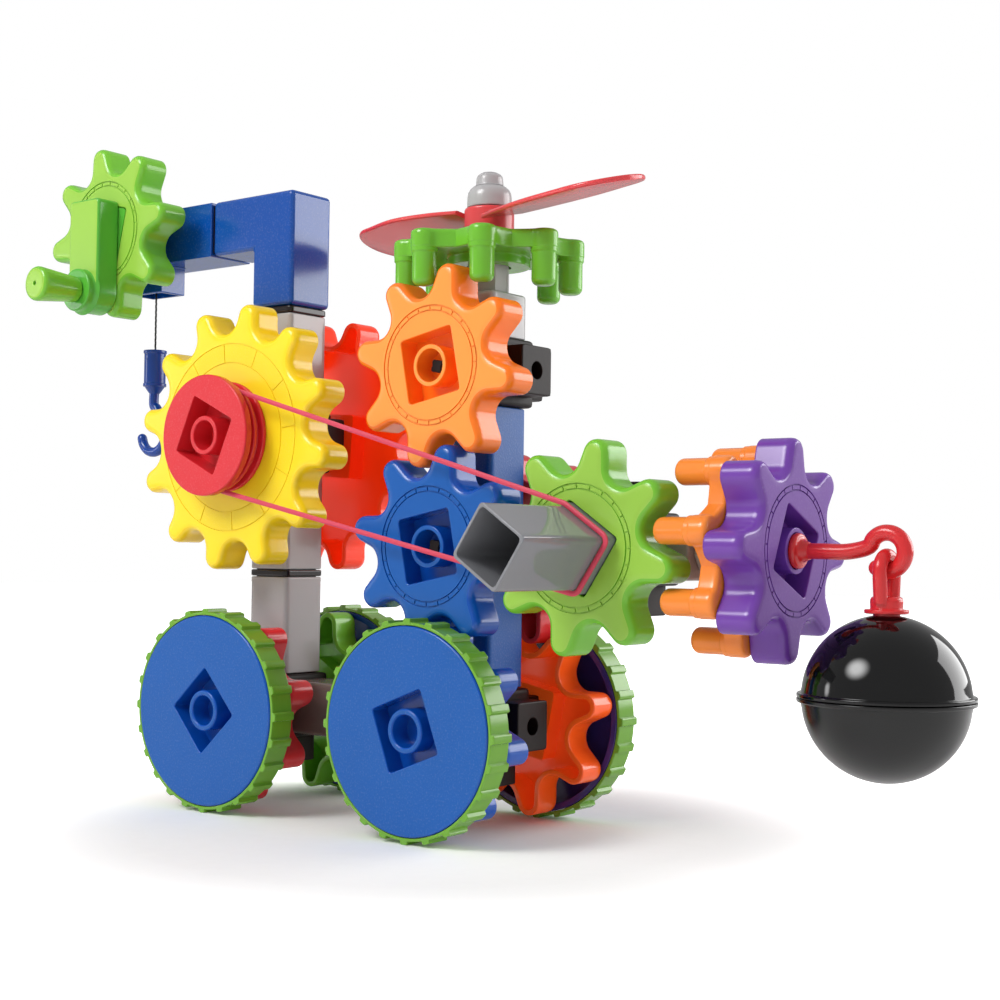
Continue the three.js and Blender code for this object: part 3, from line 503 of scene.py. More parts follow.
def pinEnd(name, place, s=gearForm):
    # The brown four-lobed end of the pin that holds the gear, at the foot of its boss
    def lobes(reach):
        loop = []
        for i in range(s["pinPoints"]):
            a = 2 * math.pi * i / s["pinPoints"]
            r = s["pinEnd"] + s["pinLobe"] * math.cos(s["pinLobes"] * a) + reach
            loop.append(Vector((math.cos(a), math.sin(a))) * r)
        return loop
    foot = s["floorBack"] + s["floor"]
    path = [("circle", 0, foot - s["pinSink"], 0), ("outline", 0, foot - s["pinSink"], 0),
            ("outline", 0, foot + s["pinRise"], 0.3), ("circle", 0, foot + s["pinRise"], 0)]
    return shellFrom(name, makeSection(lobes), path, place, [plastic("Brown", "rubbedAbs")])


def gearShell(node, teeth, colour, place, showPin=False, s=gearForm):
    # The square socket is turned back by the half pitch that its gear is turned on
    section = makeSection(lambda reach: gearLoop(teeth, reach), squareTurn=-180 / teeth,
                          corner=s["socketCorner"], inset=1.3 * s["faceRound"])
    face, back, floor = s["face"], s["back"], s["floorBack"] + s["floor"]
    wall = s["socketHalf"] + s["socketWall"]
    e = engraving[teeth]
    path = [
        ("circle", 0, floor, 0), ("circle", s["bossBore"], floor, 0),
        ("circle", s["bossBore"], face, s["bossRound"]), ("circle", s["bossRadius"], face, s["bossRound"]),
        ("circle", s["bossRadius"], floor, 0), ("square", s["socketHalf"], floor, 0),
        ("square", s["socketHalf"], face, s["socketRound"]), ("circle", e["in"], face, 0),
        ("circle", e["in"], face - e["depth"], 0), ("circle", e["out"], face - e["depth"], 0),
        ("circle", e["out"], face, 0), ("outline", 0, face, s["faceRound"]),
        ("outline", 0, back, s["backRound"]), ("outline", -s["rimWall"], back, s["backRound"]),
        ("outline", -s["rimWall"], face - s["frontWall"], 0), ("square", wall, face - s["frontWall"], 0),
        ("square", wall, s["floorBack"], 0), ("circle", s["pin"], s["floorBack"], 0),
        ("circle", s["pin"], s["pinFoot"], 0.3), ("circle", 0, s["pinFoot"], 0),
    ]
    pieces = [shellFrom(node, section, path, place, finishPair(colour, "satinAbs")),
              ringBricks(f"{node}_bricks", finishPair(colour, e["skin"])[1:], place, e, face)]
    if showPin:
        pieces.append(pinEnd(f"{node}_pin", place))
    return pieces


# How far each gear stands from its zero. The purple one is counted from its first lobe.
turns = {"mesh": 11.25, "arm": -33.75, "crank": -14, "nearLeft": 36, "farLeft": 30, "back": 4, "pulley": -25,
         "hook": -2.25}


def addGear(node, teeth, colour, centre, direction, turn, showPin=False):
    # A gear of CAD stands with a gap at its zero, so the first lobe is half a pitch on
    standIn(node, gearShell(node, teeth, colour, placeAt(centre, direction, turn + 180 / teeth), showPin))


addGear("upper_gear", 8, "Orange", rotorTop, "near", turns["mesh"], showPin=True)
addGear("mid_gear", 8, "Blue", rotorMid, "near", turns["mesh"], showPin=True)
addGear("mid_back_gear", 8, "Red", rotorMid, "far", turns["mesh"], showPin=True)
addGear("arm_gear", 8, "Green", armEnd, "near", turns["arm"])
addGear("crank_gear", 8, "Green", winchAxis, "near", turns["crank"])
addGear("near_left_wheel_gear", 8, "Red", craneBase, "near", turns["nearLeft"])
addGear("near_right_wheel_gear", 8, "Blue", rotorBase, "near", turns["mesh"])
addGear("far_left_wheel_gear", 8, "Green", craneBase, "far", turns["farLeft"])
# Its orange is painted deeper, as shade in the hollow back that faces the camera, and it glows a little:
# painted light
addGear("far_right_wheel_gear", 8, "DeepOrange", rotorBase, "far", turns["mesh"])
addGear("back_gear", 12, "Ember", craneGear, "far", turns["back"])
addGear("pulley_gear", 12, "Yellow", craneGear, "near", turns["pulley"])
# The purple gear sits on the crown gear of the ball arm, further out than the others
hookGearShift = Matrix.Translation((gearForm["crownSeat"] - gearForm["back"], 0, 0))
standIn("hook_gear", gearShell("hook_gear", 8, "Purple",
                               hookGearShift @ placeAt(armEnd, "right", turns["hook"])))
print("gears made")


# Wheels: a pebbled disc plugged in its gear, with a ribbed tyre pressed round it
discForm = {
    "back": 32.5, "face": 42.7, "floor": 34.9, "radius": 35.4, "wall": 2.4, "faceRound": 0.8,
    "backRound": 0.4, "bossRadius": 7.6, "bossBore": 5.5, "bossRound": 0.85, "socketHalf": 11.35,
    "socketWall": 1.4, "socketRound": 0.5, "socketCorner": 0.9, "plugHalf": 11.05, "plugBack": 24.2,
    "plugEnd": 33.7, "plugBore": 7.9, "plugNeck": 8.8, "leftTurn": 42.4, "rightTurn": 21.2,
}


def plugShell(name, turn, place, materials, shoulder=0.0, s=discForm):
    section = makeSection(squareTurn=turn, corner=s["socketCorner"])
    path = [("circle", s["plugBore"], s["plugEnd"], 0), ("circle", s["plugBore"], s["plugBack"], 0),
            ("square", s["plugHalf"], s["plugBack"], 0.3),
            ("square", s["plugHalf"], s["plugEnd"] - shoulder, 0)]
    if shoulder:
        path += [("circle", s["plugNeck"], s["plugEnd"] - shoulder, 0),
                 ("circle", s["plugNeck"], s["plugEnd"], 0)]
    return shellFrom(name, section, path, place, materials, closed=True)


def discShell(name, socketTurn, place, materials, s=discForm):
    section = makeSection(count=144, squareTurn=socketTurn, corner=s["socketCorner"])
    face, back, floor, inner = s["face"], s["back"], s["floor"], s["face"] - s["wall"]
    socket, wall = s["socketHalf"], s["socketHalf"] + s["socketWall"]
    path = [
        ("circle", 0, floor, 0), ("circle", s["bossBore"], floor, 0),
        ("circle", s["bossBore"], face, s["bossRound"]), ("circle", s["bossRadius"], face, s["bossRound"]),
        ("circle", s["bossRadius"], floor, 0), ("square", socket, floor, 0),
        ("square", socket, face, s["socketRound"]), ("circle", s["radius"], face, s["faceRound"]),
        ("circle", s["radius"], back, s["backRound"]), ("circle", s["radius"] - s["wall"], back, 0.3),
        ("circle", s["radius"] - s["wall"], inner, 0), ("square", wall, inner, 0), ("square", wall, back, 0),
        ("circle", 0, back, 0),
    ]
    return shellFrom(name, section, path, place, materials)


tyreForm = {"back": 32.5, "width": 9.8, "inner": 35.62, "base": 36.7, "ribRise": 1.26, "ribs": 24,
            "ribShare": 0.27, "flankShare": 0.045, "footRise": 0.3, "edgeRise": 0.9, "valleySteps": 4,
            "faceRound": 0.4, "backRound": 0.25}


def tyreLoop(reach, s=tyreForm):
    loop = []
    step = 2 * math.pi / s["ribs"]
    half, flank = step * s["ribShare"] / 2, step * s["flankShare"]
    foot, edge, steps = s["footRise"], s["edgeRise"], s["valleySteps"]
    marks = [(-half - flank, 0), (-half - flank / 2, foot), (-half, edge), (-half + flank, 1), (0, 1),
             (half - flank, 1), (half, edge), (half + flank / 2, foot), (half + flank, 0)]
    marks += [(half + flank + (step - 2 * (half + flank)) * k / steps, 0) for k in range(1, steps)]
    for i in range(s["ribs"]):
        for swing, rise in marks:
            a, r = i * step + swing, s["base"] + s["ribRise"] * rise + reach
            loop.append(Vector((r * math.cos(a), r * math.sin(a))))
    return loop


def tyreShell(name, place, materials, s=tyreForm):
    back, front = s["back"], s["back"] + s["width"]
    path = [("circle", s["inner"], front, s["backRound"]), ("outline", 0, front, s["faceRound"]),
            ("outline", 0, back, s["faceRound"]), ("circle", s["inner"], back, s["backRound"])]
    return shellFrom(name, makeSection(tyreLoop), path, place, materials, closed=True, texturedFaces=False)


def addWheel(name, centre, direction, gearTurn, discColour, socketTurn):
    place = placeAt(centre, direction)
    pair = finishPair(discColour)
    standIn(f"{name}_disc", [discShell(f"{name}_disc", socketTurn, place, pair),
                             plugShell(f"{name}_plug", gearTurn, place, pair)])
    standIn(f"{name}_tyre", tyreShell(f"{name}_tyre", place, [plastic("Tread")]))


addWheel("near_left_wheel", craneBase, "near", turns["nearLeft"], "Blue", discForm["leftTurn"])
addWheel("near_right_wheel", rotorBase, "near", turns["mesh"], "Blue", discForm["rightTurn"])
addWheel("far_left_wheel", craneBase, "far", turns["farLeft"], "DeepBlue", discForm["leftTurn"])
addWheel("far_right_wheel", rotorBase, "far", turns["mesh"], "Violet", discForm["rightTurn"])
print("wheels made")

# Pulley: two grooves, a pebbled front and its plug
pulleyForm = {"back": 32.5, "front": 44.7, "floor": 35.7, "radius": 22.8, "flange": 3.2, "ribRadius": 21.0,
              "rib": 1.6, "groove": 18.2, "land": 2.9, "edgeRound": 0.7, "boss": 7.3, "bossRound": 0.5,
              "socketRound": 0.35, "socketCorner": 0.8, "flangeRound": 0.5, "ribRound": 0.6, "backRound": 0.3}


def pulleyShell(name, place, materials, s=pulleyForm, d=discForm):
    section = makeSection(count=128, squareTurn=turns["pulley"], corner=s["socketCorner"])
    back, front, floor = s["back"], s["front"], s["floor"]
    ribFoot, ribTop = back + s["rib"] + s["land"], back + 2 * s["rib"] + s["land"]
    path = [
        ("circle", 0, floor, 0), ("circle", d["bossBore"], floor, 0),
        ("circle", d["bossBore"], front, s["bossRound"]), ("circle", s["boss"], front, s["bossRound"]),
        ("circle", s["boss"], floor, 0), ("square", d["socketHalf"], floor, 0),
        ("square", d["socketHalf"], front, s["socketRound"]), ("circle", s["radius"], front, s["edgeRound"]),
        ("circle", s["radius"], front - s["flange"], s["flangeRound"]),
        ("circle", s["groove"], front - s["flange"], s["flangeRound"]),
        ("circle", s["groove"], ribTop, s["flangeRound"]), ("circle", s["ribRadius"], ribTop, s["ribRound"]),
        ("circle", s["ribRadius"], ribFoot, s["ribRound"]),
        ("circle", s["groove"], ribFoot, s["flangeRound"]),
        ("circle", s["groove"], back + s["rib"], s["flangeRound"]),
        ("circle", s["ribRadius"], back + s["rib"], s["ribRound"]),
        ("circle", s["ribRadius"], back, s["backRound"]), ("circle", 0, back, 0),
    ]
    return shellFrom(name, section, path, place, materials)


pulleyPlace = placeAt(craneGear, "near")
pulleyPair = finishPair("Pulley")
standIn("belt_pulley", [pulleyShell("belt_pulley", pulleyPlace, pulleyPair),
                        plugShell("pulley_plug", turns["pulley"], pulleyPlace, pulleyPair)])


# Drive band: a flat ribbon with round edges, stretched over the pulley groove and the square tube
bandForm = {"groove": 18.2, "gap": 0.3, "thickness": 1.7, "width": 1.2, "atPulley": 39.85, "atTube": 37.0,
            "side": 20.0, "corner": 1.6, "flatShare": 0.22, "pulleyPoints": 96, "cornerPoints": 24}


def hullOf(points):
    points = sorted(points, key=lambda p: (p.x, p.y))

    def chain(source):
        kept = []
        for p in source:
            while len(kept) > 1 and (kept[-1] - kept[-2]).cross(p - kept[-1]) <= 1e-9:
                kept.pop()
            kept.append(p)
        return kept[:-1]
    return chain(points) + chain(points[::-1])


def driveBand(s=bandForm):
    away = Vector((armEnd.x - craneGear.x, armEnd.z - craneGear.z))
    half = s["side"] / 2 - s["corner"]
    points = arcPoints((0, 0), s["groove"] + s["gap"], 0, 360, s["pulleyPoints"])
    for quarter in range(4):
        middle = Matrix.Rotation(math.radians(90 * quarter + turns["arm"]), 2) @ Vector((half, half)) + away
        points += arcPoints(middle, s["corner"] + s["gap"], 0, 360, s["cornerPoints"])
    line = hullOf(points)
    slope = (s["atTube"] - s["atPulley"]) / away.x
    flat = s["flatShare"]
    section = [(-0.5, -flat), (-0.5, flat), (-flat, 0.5), (flat, 0.5), (0.5, flat), (0.5, -flat),
               (flat, -0.5), (-flat, -0.5)]
    rows = []
    for i, p in enumerate(line):
        along = (line[(i + 1) % len(line)] - line[i - 1]).normalized()
        out = Vector((along.y, -along.x))
        row = []
        for across, height in section:
            spot = p + out * s["thickness"] * (across + 0.5)
            row.append((spot.x, spot.y, s["atPulley"] + slope * spot.x + height * s["width"]))
        rows.append(row)
    band = [plastic("Band", "stretchedRubber")]
    return standIn("drive_band", loftShell("drive_band", rows, placeAt(craneGear, "near"), band, closed=True))


driveBand()
print("pulley and band made")


# Crown gears: a lobed disc with a round top edge, and a ring of stepped pegs
crownForm = {"tips": 28.4, "under": 41.4, "top": 48.0, "pegCircle": 29.4, "lobe": 4.9, "neck": 25.4,
             "pegRadius": 4.3, "pegFoot": 4.75, "footDepth": 1.6, "tipRound": 2.3, "hub": 15.0,
             "hubDepth": 3.2, "bore": 8.1, "topRound": 1.8, "underRound": 0.7, "teeth": 8, "lobeAngle": 92,
             "lobeSteps": 14, "bendIn": 1.6, "bendUp": 0.4, "boreRound": 0.4, "hubRound": 0.6, "pegRoot": 3.0,
             "pegStep": 0.35, "pegPoints": 28, "tipSteps": 5}


def crownLoop(reach, s=crownForm):
    loop = []
    valley = math.pi / s["teeth"]
    arc = arcPoints((s["pegCircle"], 0), s["lobe"] + reach, -s["lobeAngle"], s["lobeAngle"], s["lobeSteps"])
    low = Vector((math.cos(valley), math.sin(valley))) * (s["neck"] + reach)
    last = arc[-1]
    bend = Vector((last.x - s["bendIn"], last.y + s["bendUp"]))
    sweep = [last * (1 - t) ** 2 + bend * 2 * t * (1 - t) + low * t ** 2 for t in (0.25, 0.5, 0.75)]
    back = Matrix.Rotation(2 * valley, 2)
    mirrored = [back @ Vector((p.x, -p.y)) for p in reversed(sweep)]
    for i in range(s["teeth"]):
        turn = Matrix.Rotation(2 * valley * i, 2)
        loop += [turn @ p for p in arc + sweep + [low] + mirrored]
    return loop


def crownShell(name, place, materials, s=crownForm):
    top, under = s["top"], s["under"]
    path = [("circle", s["bore"], under - s["hubDepth"], 0), ("circle", s["bore"], top, s["boreRound"]),
            ("outline", 0, top, s["topRound"]), ("outline", 0, under, s["underRound"]),
            ("circle", s["hub"], under, s["hubRound"]), ("circle", s["hub"], under - s["hubDepth"], 0.5)]
    plate = shellFrom(name, makeSection(crownLoop), path, place, materials, closed=True, texturedFaces=False)
    # A peg: its root in the plate, a wide foot, and a round tip
    foot, step, peg = s["pegFoot"], under - s["footDepth"], s["pegRadius"]
    profile = [(foot, under + s["pegRoot"]), (foot, step + 0.4), (foot - s["pegStep"], step),
               (peg, step - 0.25), (peg, s["tips"] + s["tipRound"])]
    for k in range(1, s["tipSteps"] + 1):
        a = math.radians(90 * k / s["tipSteps"])
        profile.append((peg - s["tipRound"] * (1 - math.cos(a)),
                        s["tips"] + s["tipRound"] * (1 - math.sin(a))))
    count = s["pegPoints"]
    loops = []
    for radius, height in profile:
        ring = arcPoints((s["pegCircle"], 0), radius, 0, 360 - 360 / count, count - 1)
        loops.append([(p.x, p.y, height) for p in ring])
    return [plate, turnedCopies(f"{name}_pegs", loops, s["teeth"], materials, place)]


# The crown gear's green is painted darker, as shade in its recesses
standIn("rotor_crown_gear", crownShell("rotor_crown", placeAt(rotorTop, "up", -turns["mesh"]),
                                       finishPair("Crown")))
standIn("ball_crown_gear", crownShell("ball_crown", placeAt(armEnd, "right", -turns["mesh"]),
                                      finishPair("PegOrange")))
print("crown gears made")


# Square pieces: pillars, joining rings, the arm gear's tube and its collar
squareForm = {"half": 10.0, "wall": 1.05, "corner": 1.5, "edgeRound": 0.55, "plugHalf": 8.65,
              "plugBore": 6.92, "core": 12.15, "coreCorner": 1.9, "coreRound": 1.5, "stubEnd": 22.15,
              "stubCorner": 0.9, "stubRound": 0.6, "bore": 3.1, "boreEnd": 13.15, "seam": 2.5, "seamOut": 0.1,
              "plugReach": 9.0, "pebbled": ("Blue",)}


def spanOf(node, axis):
    low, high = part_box(node)
    return low[axis] / mm, high[axis] / mm


def tubeShell(name, place, low, high, materials, s=squareForm):
    path = [("square", s["half"] - s["wall"], high, 0.2), ("square", s["half"], high, s["edgeRound"]),
            ("square", s["half"], low, s["edgeRound"]), ("square", s["half"] - s["wall"], low, 0.2)]
    return shellFrom(name, makeSection(corner=s["corner"]), path, place, materials, closed=True)


def addTube(node, centre, direction, colour, turn=0.0):
    axis = {"up": 2, "right": 0, "left": 0, "near": 1}[direction]
    low, high = spanOf(node, axis)
    sign = -1 if direction in ("left", "near") else 1
    ends = sorted(((low - centre[axis]) * sign, (high - centre[axis]) * sign))
    skin = finishPair(colour)
    if colour in squareForm["pebbled"]:
        skin = skin[1:]
    if colour == "Tube":
        skin = [plastic(colour, "polishedAbs")]
    return standIn(node, tubeShell(node, placeAt(centre, direction, turn), *ends, skin))


for node, centre, direction, colour in (
        ("crane_pillar_lower", craneBase, "up", "Grey"), ("crane_pillar_middle", craneBase, "up", "Grey"),
        ("crane_pillar_upper", craneBase, "up", "Grey"), ("rotor_pillar_lower", rotorBase, "up", "Blue"),
        ("rotor_pillar_upper", rotorBase, "up", "Blue"),
        ("chassis_pillar_crane", craneBase, "right", "Chassis"),
        ("chassis_pillar_rotor", rotorBase, "left", "Chassis"),
        ("ball_arm_pillar", rotorMid, "right", "Blue")):
    addTube(node, centre, direction, colour)
addTube("square_tube", armEnd, "near", "Tube", turns["arm"])


def ringShell(node, colour, s=squareForm):
    # A ring plugged in the pillars above and below, with a seam that shows between them
    low, high = spanOf(node, 2)
    start, end, out = low + s["plugReach"], low + s["plugReach"] + s["seam"], s["half"] + s["seamOut"]
    path = [("square", s["plugBore"], low, 0), ("square", s["plugHalf"], low, 0.3),
            ("square", s["plugHalf"], start, 0), ("square", out, start, s["edgeRound"]),
            ("square", out, end, s["edgeRound"]), ("square", s["plugHalf"], end, 0),
            ("square", s["plugHalf"], high, 0.3), ("square", s["plugBore"], high, 0)]
    place = placeAt(Vector((craneBase.x, craneBase.y, 0)))
    return standIn(node, shellFrom(node, makeSection(corner=s["corner"]), path, place, finishPair(colour),
                                   closed=True))


ringShell("crane_ring_lower", "Brown")
ringShell("crane_ring_upper", "Brown")


def connectorShell(node, bored, s=squareForm):
    # A cube with six stubs, of which those that carry a gear's pin are bored
    centre = middleOf(node)
    materials = [plastic("Brown", "rubbedAbs")]
    core, inside = s["core"], s["core"] - 1
    path = [("circle", 0, core, 0), ("square", core, core, s["coreRound"]),
            ("square", core, -core, s["coreRound"]), ("circle", 0, -core, 0)]
    pieces = [shellFrom(node, makeSection(corner=s["coreCorner"]), path, placeAt(centre), materials)]
    for direction in facing:
        path = [("circle", 0, inside, 0), ("square", s["plugHalf"], inside, 0),
                ("square", s["plugHalf"], s["stubEnd"], s["stubRound"])]
        if direction in bored:
            path += [("circle", s["bore"], s["stubEnd"], 0.3), ("circle", s["bore"], s["boreEnd"], 0)]
        path.append(("circle", 0, s["boreEnd"] if direction in bored else s["stubEnd"], 0))
        pieces.append(shellFrom(f"{node}_{direction}", makeSection(count=64, corner=s["stubCorner"]), path,
                                placeAt(centre, direction), materials))
    return standIn(node, pieces)


for node, bored in (("crane_base_connector", ("near", "far")), ("crane_gear_connector", ("near", "far")),
                    ("rotor_base_connector", ("near", "far", "right")),
                    ("rotor_mid_connector", ("near", "far")),
                    ("rotor_top_connector", ("near", "right", "up")),
                    ("ball_arm_connector", ("near", "right", "up"))):
    connectorShell(node, bored)
print("square pieces made")


# Solids joined, rounded along their edges, and cut
def baked(piece):
    shot = piece.evaluated_get(bpy.context.evaluated_depsgraph_get())
    mesh = bpy.data.meshes.new_from_object(shot)
    old = piece.data
    piece.modifiers.clear()
    piece.data = mesh
    bpy.data.meshes.remove(old)
    return piece


def block(name, low, high, materials):
    shell = bmesh.new()
    bmesh.ops.create_cube(shell, size=1.0)
    for v in shell.verts:
        v.co = Vector([low[k] if v.co[k] < 0 else high[k] for k in range(3)])
    return finishMesh(shell, name, Matrix.Identity(4), materials)


def addTools(solid, tools, operation):
    for tool in tools:
        modifier = solid.modifiers.new(operation, "BOOLEAN")
        modifier.operation = operation
        modifier.solver = "EXACT"
        modifier.object = tool


def workedSolid(solid, joined, cuts, rounding, steps=3, sharpest=40):
    # Edges that turn by more than the sharpest angle are rounded before the cuts are made
    addTools(solid, joined, "UNION")
    baked(solid)
    edges = solid.modifiers.new("round", "BEVEL")
    edges.width = rounding * mm
    edges.segments = steps
    edges.limit_method = "ANGLE"
    edges.angle_limit = math.radians(sharpest)
    addTools(solid, cuts, "DIFFERENCE")
    baked(solid)
    for tool in joined + cuts:
        bpy.data.objects.remove(tool)
    solid.data.set_sharp_from_angle(angle=math.radians(shading["sharp"]))
    weigh = solid.modifiers.new("weigh", "WEIGHTED_NORMAL")
    weigh.keep_sharp = True
    return baked(solid)


def turnedShell(name, profile, place, materials, facets=56):
    # Profile: radius, height and rounding, from one end of the axis to the other
    return shellFrom(name, makeSection(count=facets), [("circle", *p) for p in profile], place, materials)


# Crane arm: elbow, winch housing and what joins them
armForm = {"half": 11.0, "wall": 2.0, "rounding": 1.9, "legHalf": 10.0, "legBack": 3.0, "legWall": 1.6,
           "boss": 8.5, "bossEnd": 18.9, "bore": 5.3, "tailBore": 3.9, "plugHalf": 8.7, "plugReach": 9.0,
           "seamHalf": 10.0, "facets": 40}


def boxOf(node):
    low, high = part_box(node)
    return Vector(low) / mm, Vector(high) / mm


def roundBar(name, radius, length, place, materials, s=armForm):
    profile = [(0, 0, 0), (radius, 0, 0), (radius, length, 0), (0, length, 0)]
    return turnedShell(name, profile, place, materials, s["facets"])


def craneElbow(s=armForm):
    low, high = boxOf("crane_elbow")
    x, y = craneBase.x, craneBase.y
    half, inner = s["half"], s["half"] - s["wall"]
    armFoot = high.z - 2 * half
    skin = [plastic("ArmBlue", "grainedAbs")]
    leg = block("crane_elbow", (x - half, y - half, low.z), (x + half, y + half, high.z), skin)
    arm = block("arm", (low.x, y - half, armFoot), (x, y + half, high.z), skin)
    cuts = [
        block("legCut", (x - inner, y - inner, low.z - 1), (x + inner, y + inner, high.z - s["wall"]), skin),
        block("armCut", (low.x - 1, y - inner, armFoot + s["wall"]), (x, y + inner, high.z - s["wall"]),
              skin),
    ]
    return standIn("crane_elbow", workedSolid(leg, [arm], cuts, s["rounding"]))


def winchHousing(s=armForm):
    # The arm is open to the elbow, the leg is open downwards for the cord, and the boss carries the spool
    low, high = boxOf("winch_housing")
    x, y, z = winchAxis.x, craneBase.y, winchAxis.z
    half, inner = s["half"], s["half"] - s["wall"]
    leg, legInner, legEnd = s["legHalf"], s["legHalf"] - s["legWall"], s["legBack"] - s["legWall"]
    skin = [plastic("ArmBlue", "grainedAbs")]
    near, far = placeAt(winchAxis, "near"), placeAt(winchAxis, "far")
    arm = block("winch_housing", (low.x, y - half, z - half), (high.x, y + half, z + half), skin)
    joined = [block("leg", (x - leg, y - leg, low.z), (x + leg, y + s["legBack"], z), skin),
              roundBar("boss", s["boss"], s["bossEnd"], near, skin)]
    cuts = [
        block("armCut", (low.x + s["wall"], y - inner, z - inner), (high.x + 1, y + inner, z + inner), skin),
        block("legCut", (x - legInner, y - legInner, low.z - 1), (x + legInner, y + legEnd, z), skin),
        roundBar("bore", s["bore"], s["bossEnd"] + 1, near, skin),
        roundBar("tail", s["tailBore"], half + 1, far, skin),
    ]
    return standIn("winch_housing", workedSolid(arm, joined, cuts, s["rounding"]))


def armJoiner(s=armForm):
    low, high = spanOf("arm_joiner", 0)
    plug, seam, bore, reach = s["plugHalf"], s["seamHalf"], squareForm["plugBore"], s["plugReach"]
    path = [("square", bore, low, 0), ("square", plug, low, 0.3), ("square", plug, low + reach, 0),
            ("square", seam, low + reach, 0), ("square", seam, high - reach, 0),
            ("square", plug, high - reach, 0), ("square", plug, high, 0.3), ("square", bore, high, 0)]
    place = placeAt(Vector((0, craneBase.y, winchAxis.z)), "right")
    return standIn("arm_joiner", shellFrom("arm_joiner", makeSection(), path, place, finishPair("Brown"),
                                           closed=True))


craneElbow()
winchHousing()
armJoiner()

# Winch: spool, crank bar and its knob
crankForm = {"halfWidth": 9.2, "rise": 11.6, "throw": 25.6, "endRadius": 8.9, "face": 32.5, "front": 42.5,
             "corner": 1.9, "frontRound": 1.3, "barrel": 8.6, "barrelEnd": 45.9, "lip": 0.35, "pin": 2.4,
             "pinEnd": 63.7, "knobStart": 46.2, "knobEnd": 65.6, "neck": 5.1, "flare": 7.1, "endRound": 2.0,
             "hole": 0.8, "holeDepth": 1.5, "shoulder": 1.6, "foot": 1.2, "play": 0.3, "swell": 0.55,
             "swellAt": 6, "endSteps": 32}
spoolForm = {"tail": 3.6, "tailEnd": -11.0, "flange": 8.4, "flangeOut": 7.5, "flangeIn": 6.0, "drum": 4.0,
             "journal": 5.0, "end": 22.15, "bore": 3.1, "boreEnd": 13.15}


def crankOutline(reach, s=crankForm):
    # A round end about the knob, and a square end with small corners above the axle
    loop = []
    for i in range(s["endSteps"] + 1):
        a = math.pi * (1 + i / s["endSteps"])
        loop.append(Vector(((s["halfWidth"] + reach) * math.cos(a),
                            (s["endRadius"] + reach) * math.sin(a) - s["throw"])))
    inX, inY = s["halfWidth"] - s["corner"], s["rise"] - s["corner"]
    for side, first in ((1, 0), (-1, 90)):
        loop += arcPoints((side * inX, inY), s["corner"] + reach, first, first + 90, 5)
    return loop


def crankBar(s=crankForm):
    place = placeAt(winchAxis, "near")
    # The sides of the bar, barrel and plug take a darker green: painted shade
    pair = [plastic("BarSide"), finishPair("Green", "satinAbs")[1]]
    plate = shellFrom("crank_bar", makeSection(crankOutline), [
        ("circle", 0, s["face"], 0), ("outline", 0, s["face"], 0.4),
        ("outline", 0, s["front"], s["frontRound"]), ("circle", 0, s["front"], 0),
    ], place, pair)
    front, end, rim = s["front"], s["barrelEnd"], s["barrel"] - s["lip"]
    barrel = turnedShell("crank_barrel", [
        (0, front - 1, 0), (s["barrel"] + s["foot"], front - 1, 0), (rim, front + 0.4, 1.2),
        (rim, end - 1.3, 0.3), (s["barrel"], end - 1.0, 0.2), (s["barrel"], end, 0.7), (s["pin"], end, 0),
        (s["pin"], s["pinEnd"], 0.4), (0, s["pinEnd"], 0),
    ], place @ Matrix.Translation((0, -s["throw"], 0)), pair)
    plug = plugShell("crank_plug", turns["crank"], place, pair, s["shoulder"])
    return standIn("crank_bar", [plate, barrel, plug])


def crankKnob(s=crankForm):
    place = placeAt(winchAxis, "near") @ Matrix.Translation((0, -s["throw"], 0))
    bore, inside, start, end = s["pin"] + s["play"], s["pinEnd"] + s["play"], s["knobStart"], s["knobEnd"]
    return standIn("crank_knob", turnedShell("crank_knob", [
        (0, inside, 0), (bore, inside, 0), (bore, start, 0), (s["neck"], start, 0.6),
        (s["neck"] + s["swell"], start + s["swellAt"], 8), (s["flare"], end, s["endRound"]),
        (s["hole"], end, 0.25), (s["hole"], end - s["holeDepth"], 0), (0, end - s["holeDepth"], 0),
    ], place, finishPair("Green", "satinAbs")))


def winchSpool(s=spoolForm):
    out, inside = s["flangeOut"], s["flangeIn"]
    return standIn("winch_spool", turnedShell("winch_spool", [
        (0, s["tailEnd"], 0), (s["tail"], s["tailEnd"], 0.3), (s["tail"], -out, 0), (s["flange"], -out, 0.3),
        (s["flange"], -inside, 0.3), (s["drum"], -inside, 0), (s["drum"], inside, 0),
        (s["flange"], inside, 0.3), (s["flange"], out, 0.3), (s["journal"], out, 0),
        (s["journal"], s["end"], 0.3), (s["bore"], s["end"], 0.2), (s["bore"], s["boreEnd"], 0),
        (0, s["boreEnd"], 0),
    ], placeAt(winchAxis, "near"), finishPair("Grey")))


crankBar()
crankKnob()
winchSpool()
print("crane made")


# Wires: a round section swept along a smooth line through points, with a round end of a few steps
wireForm = {"spans": 5, "facets": 20, "endAngles": (25, 45, 62, 76, 86)}


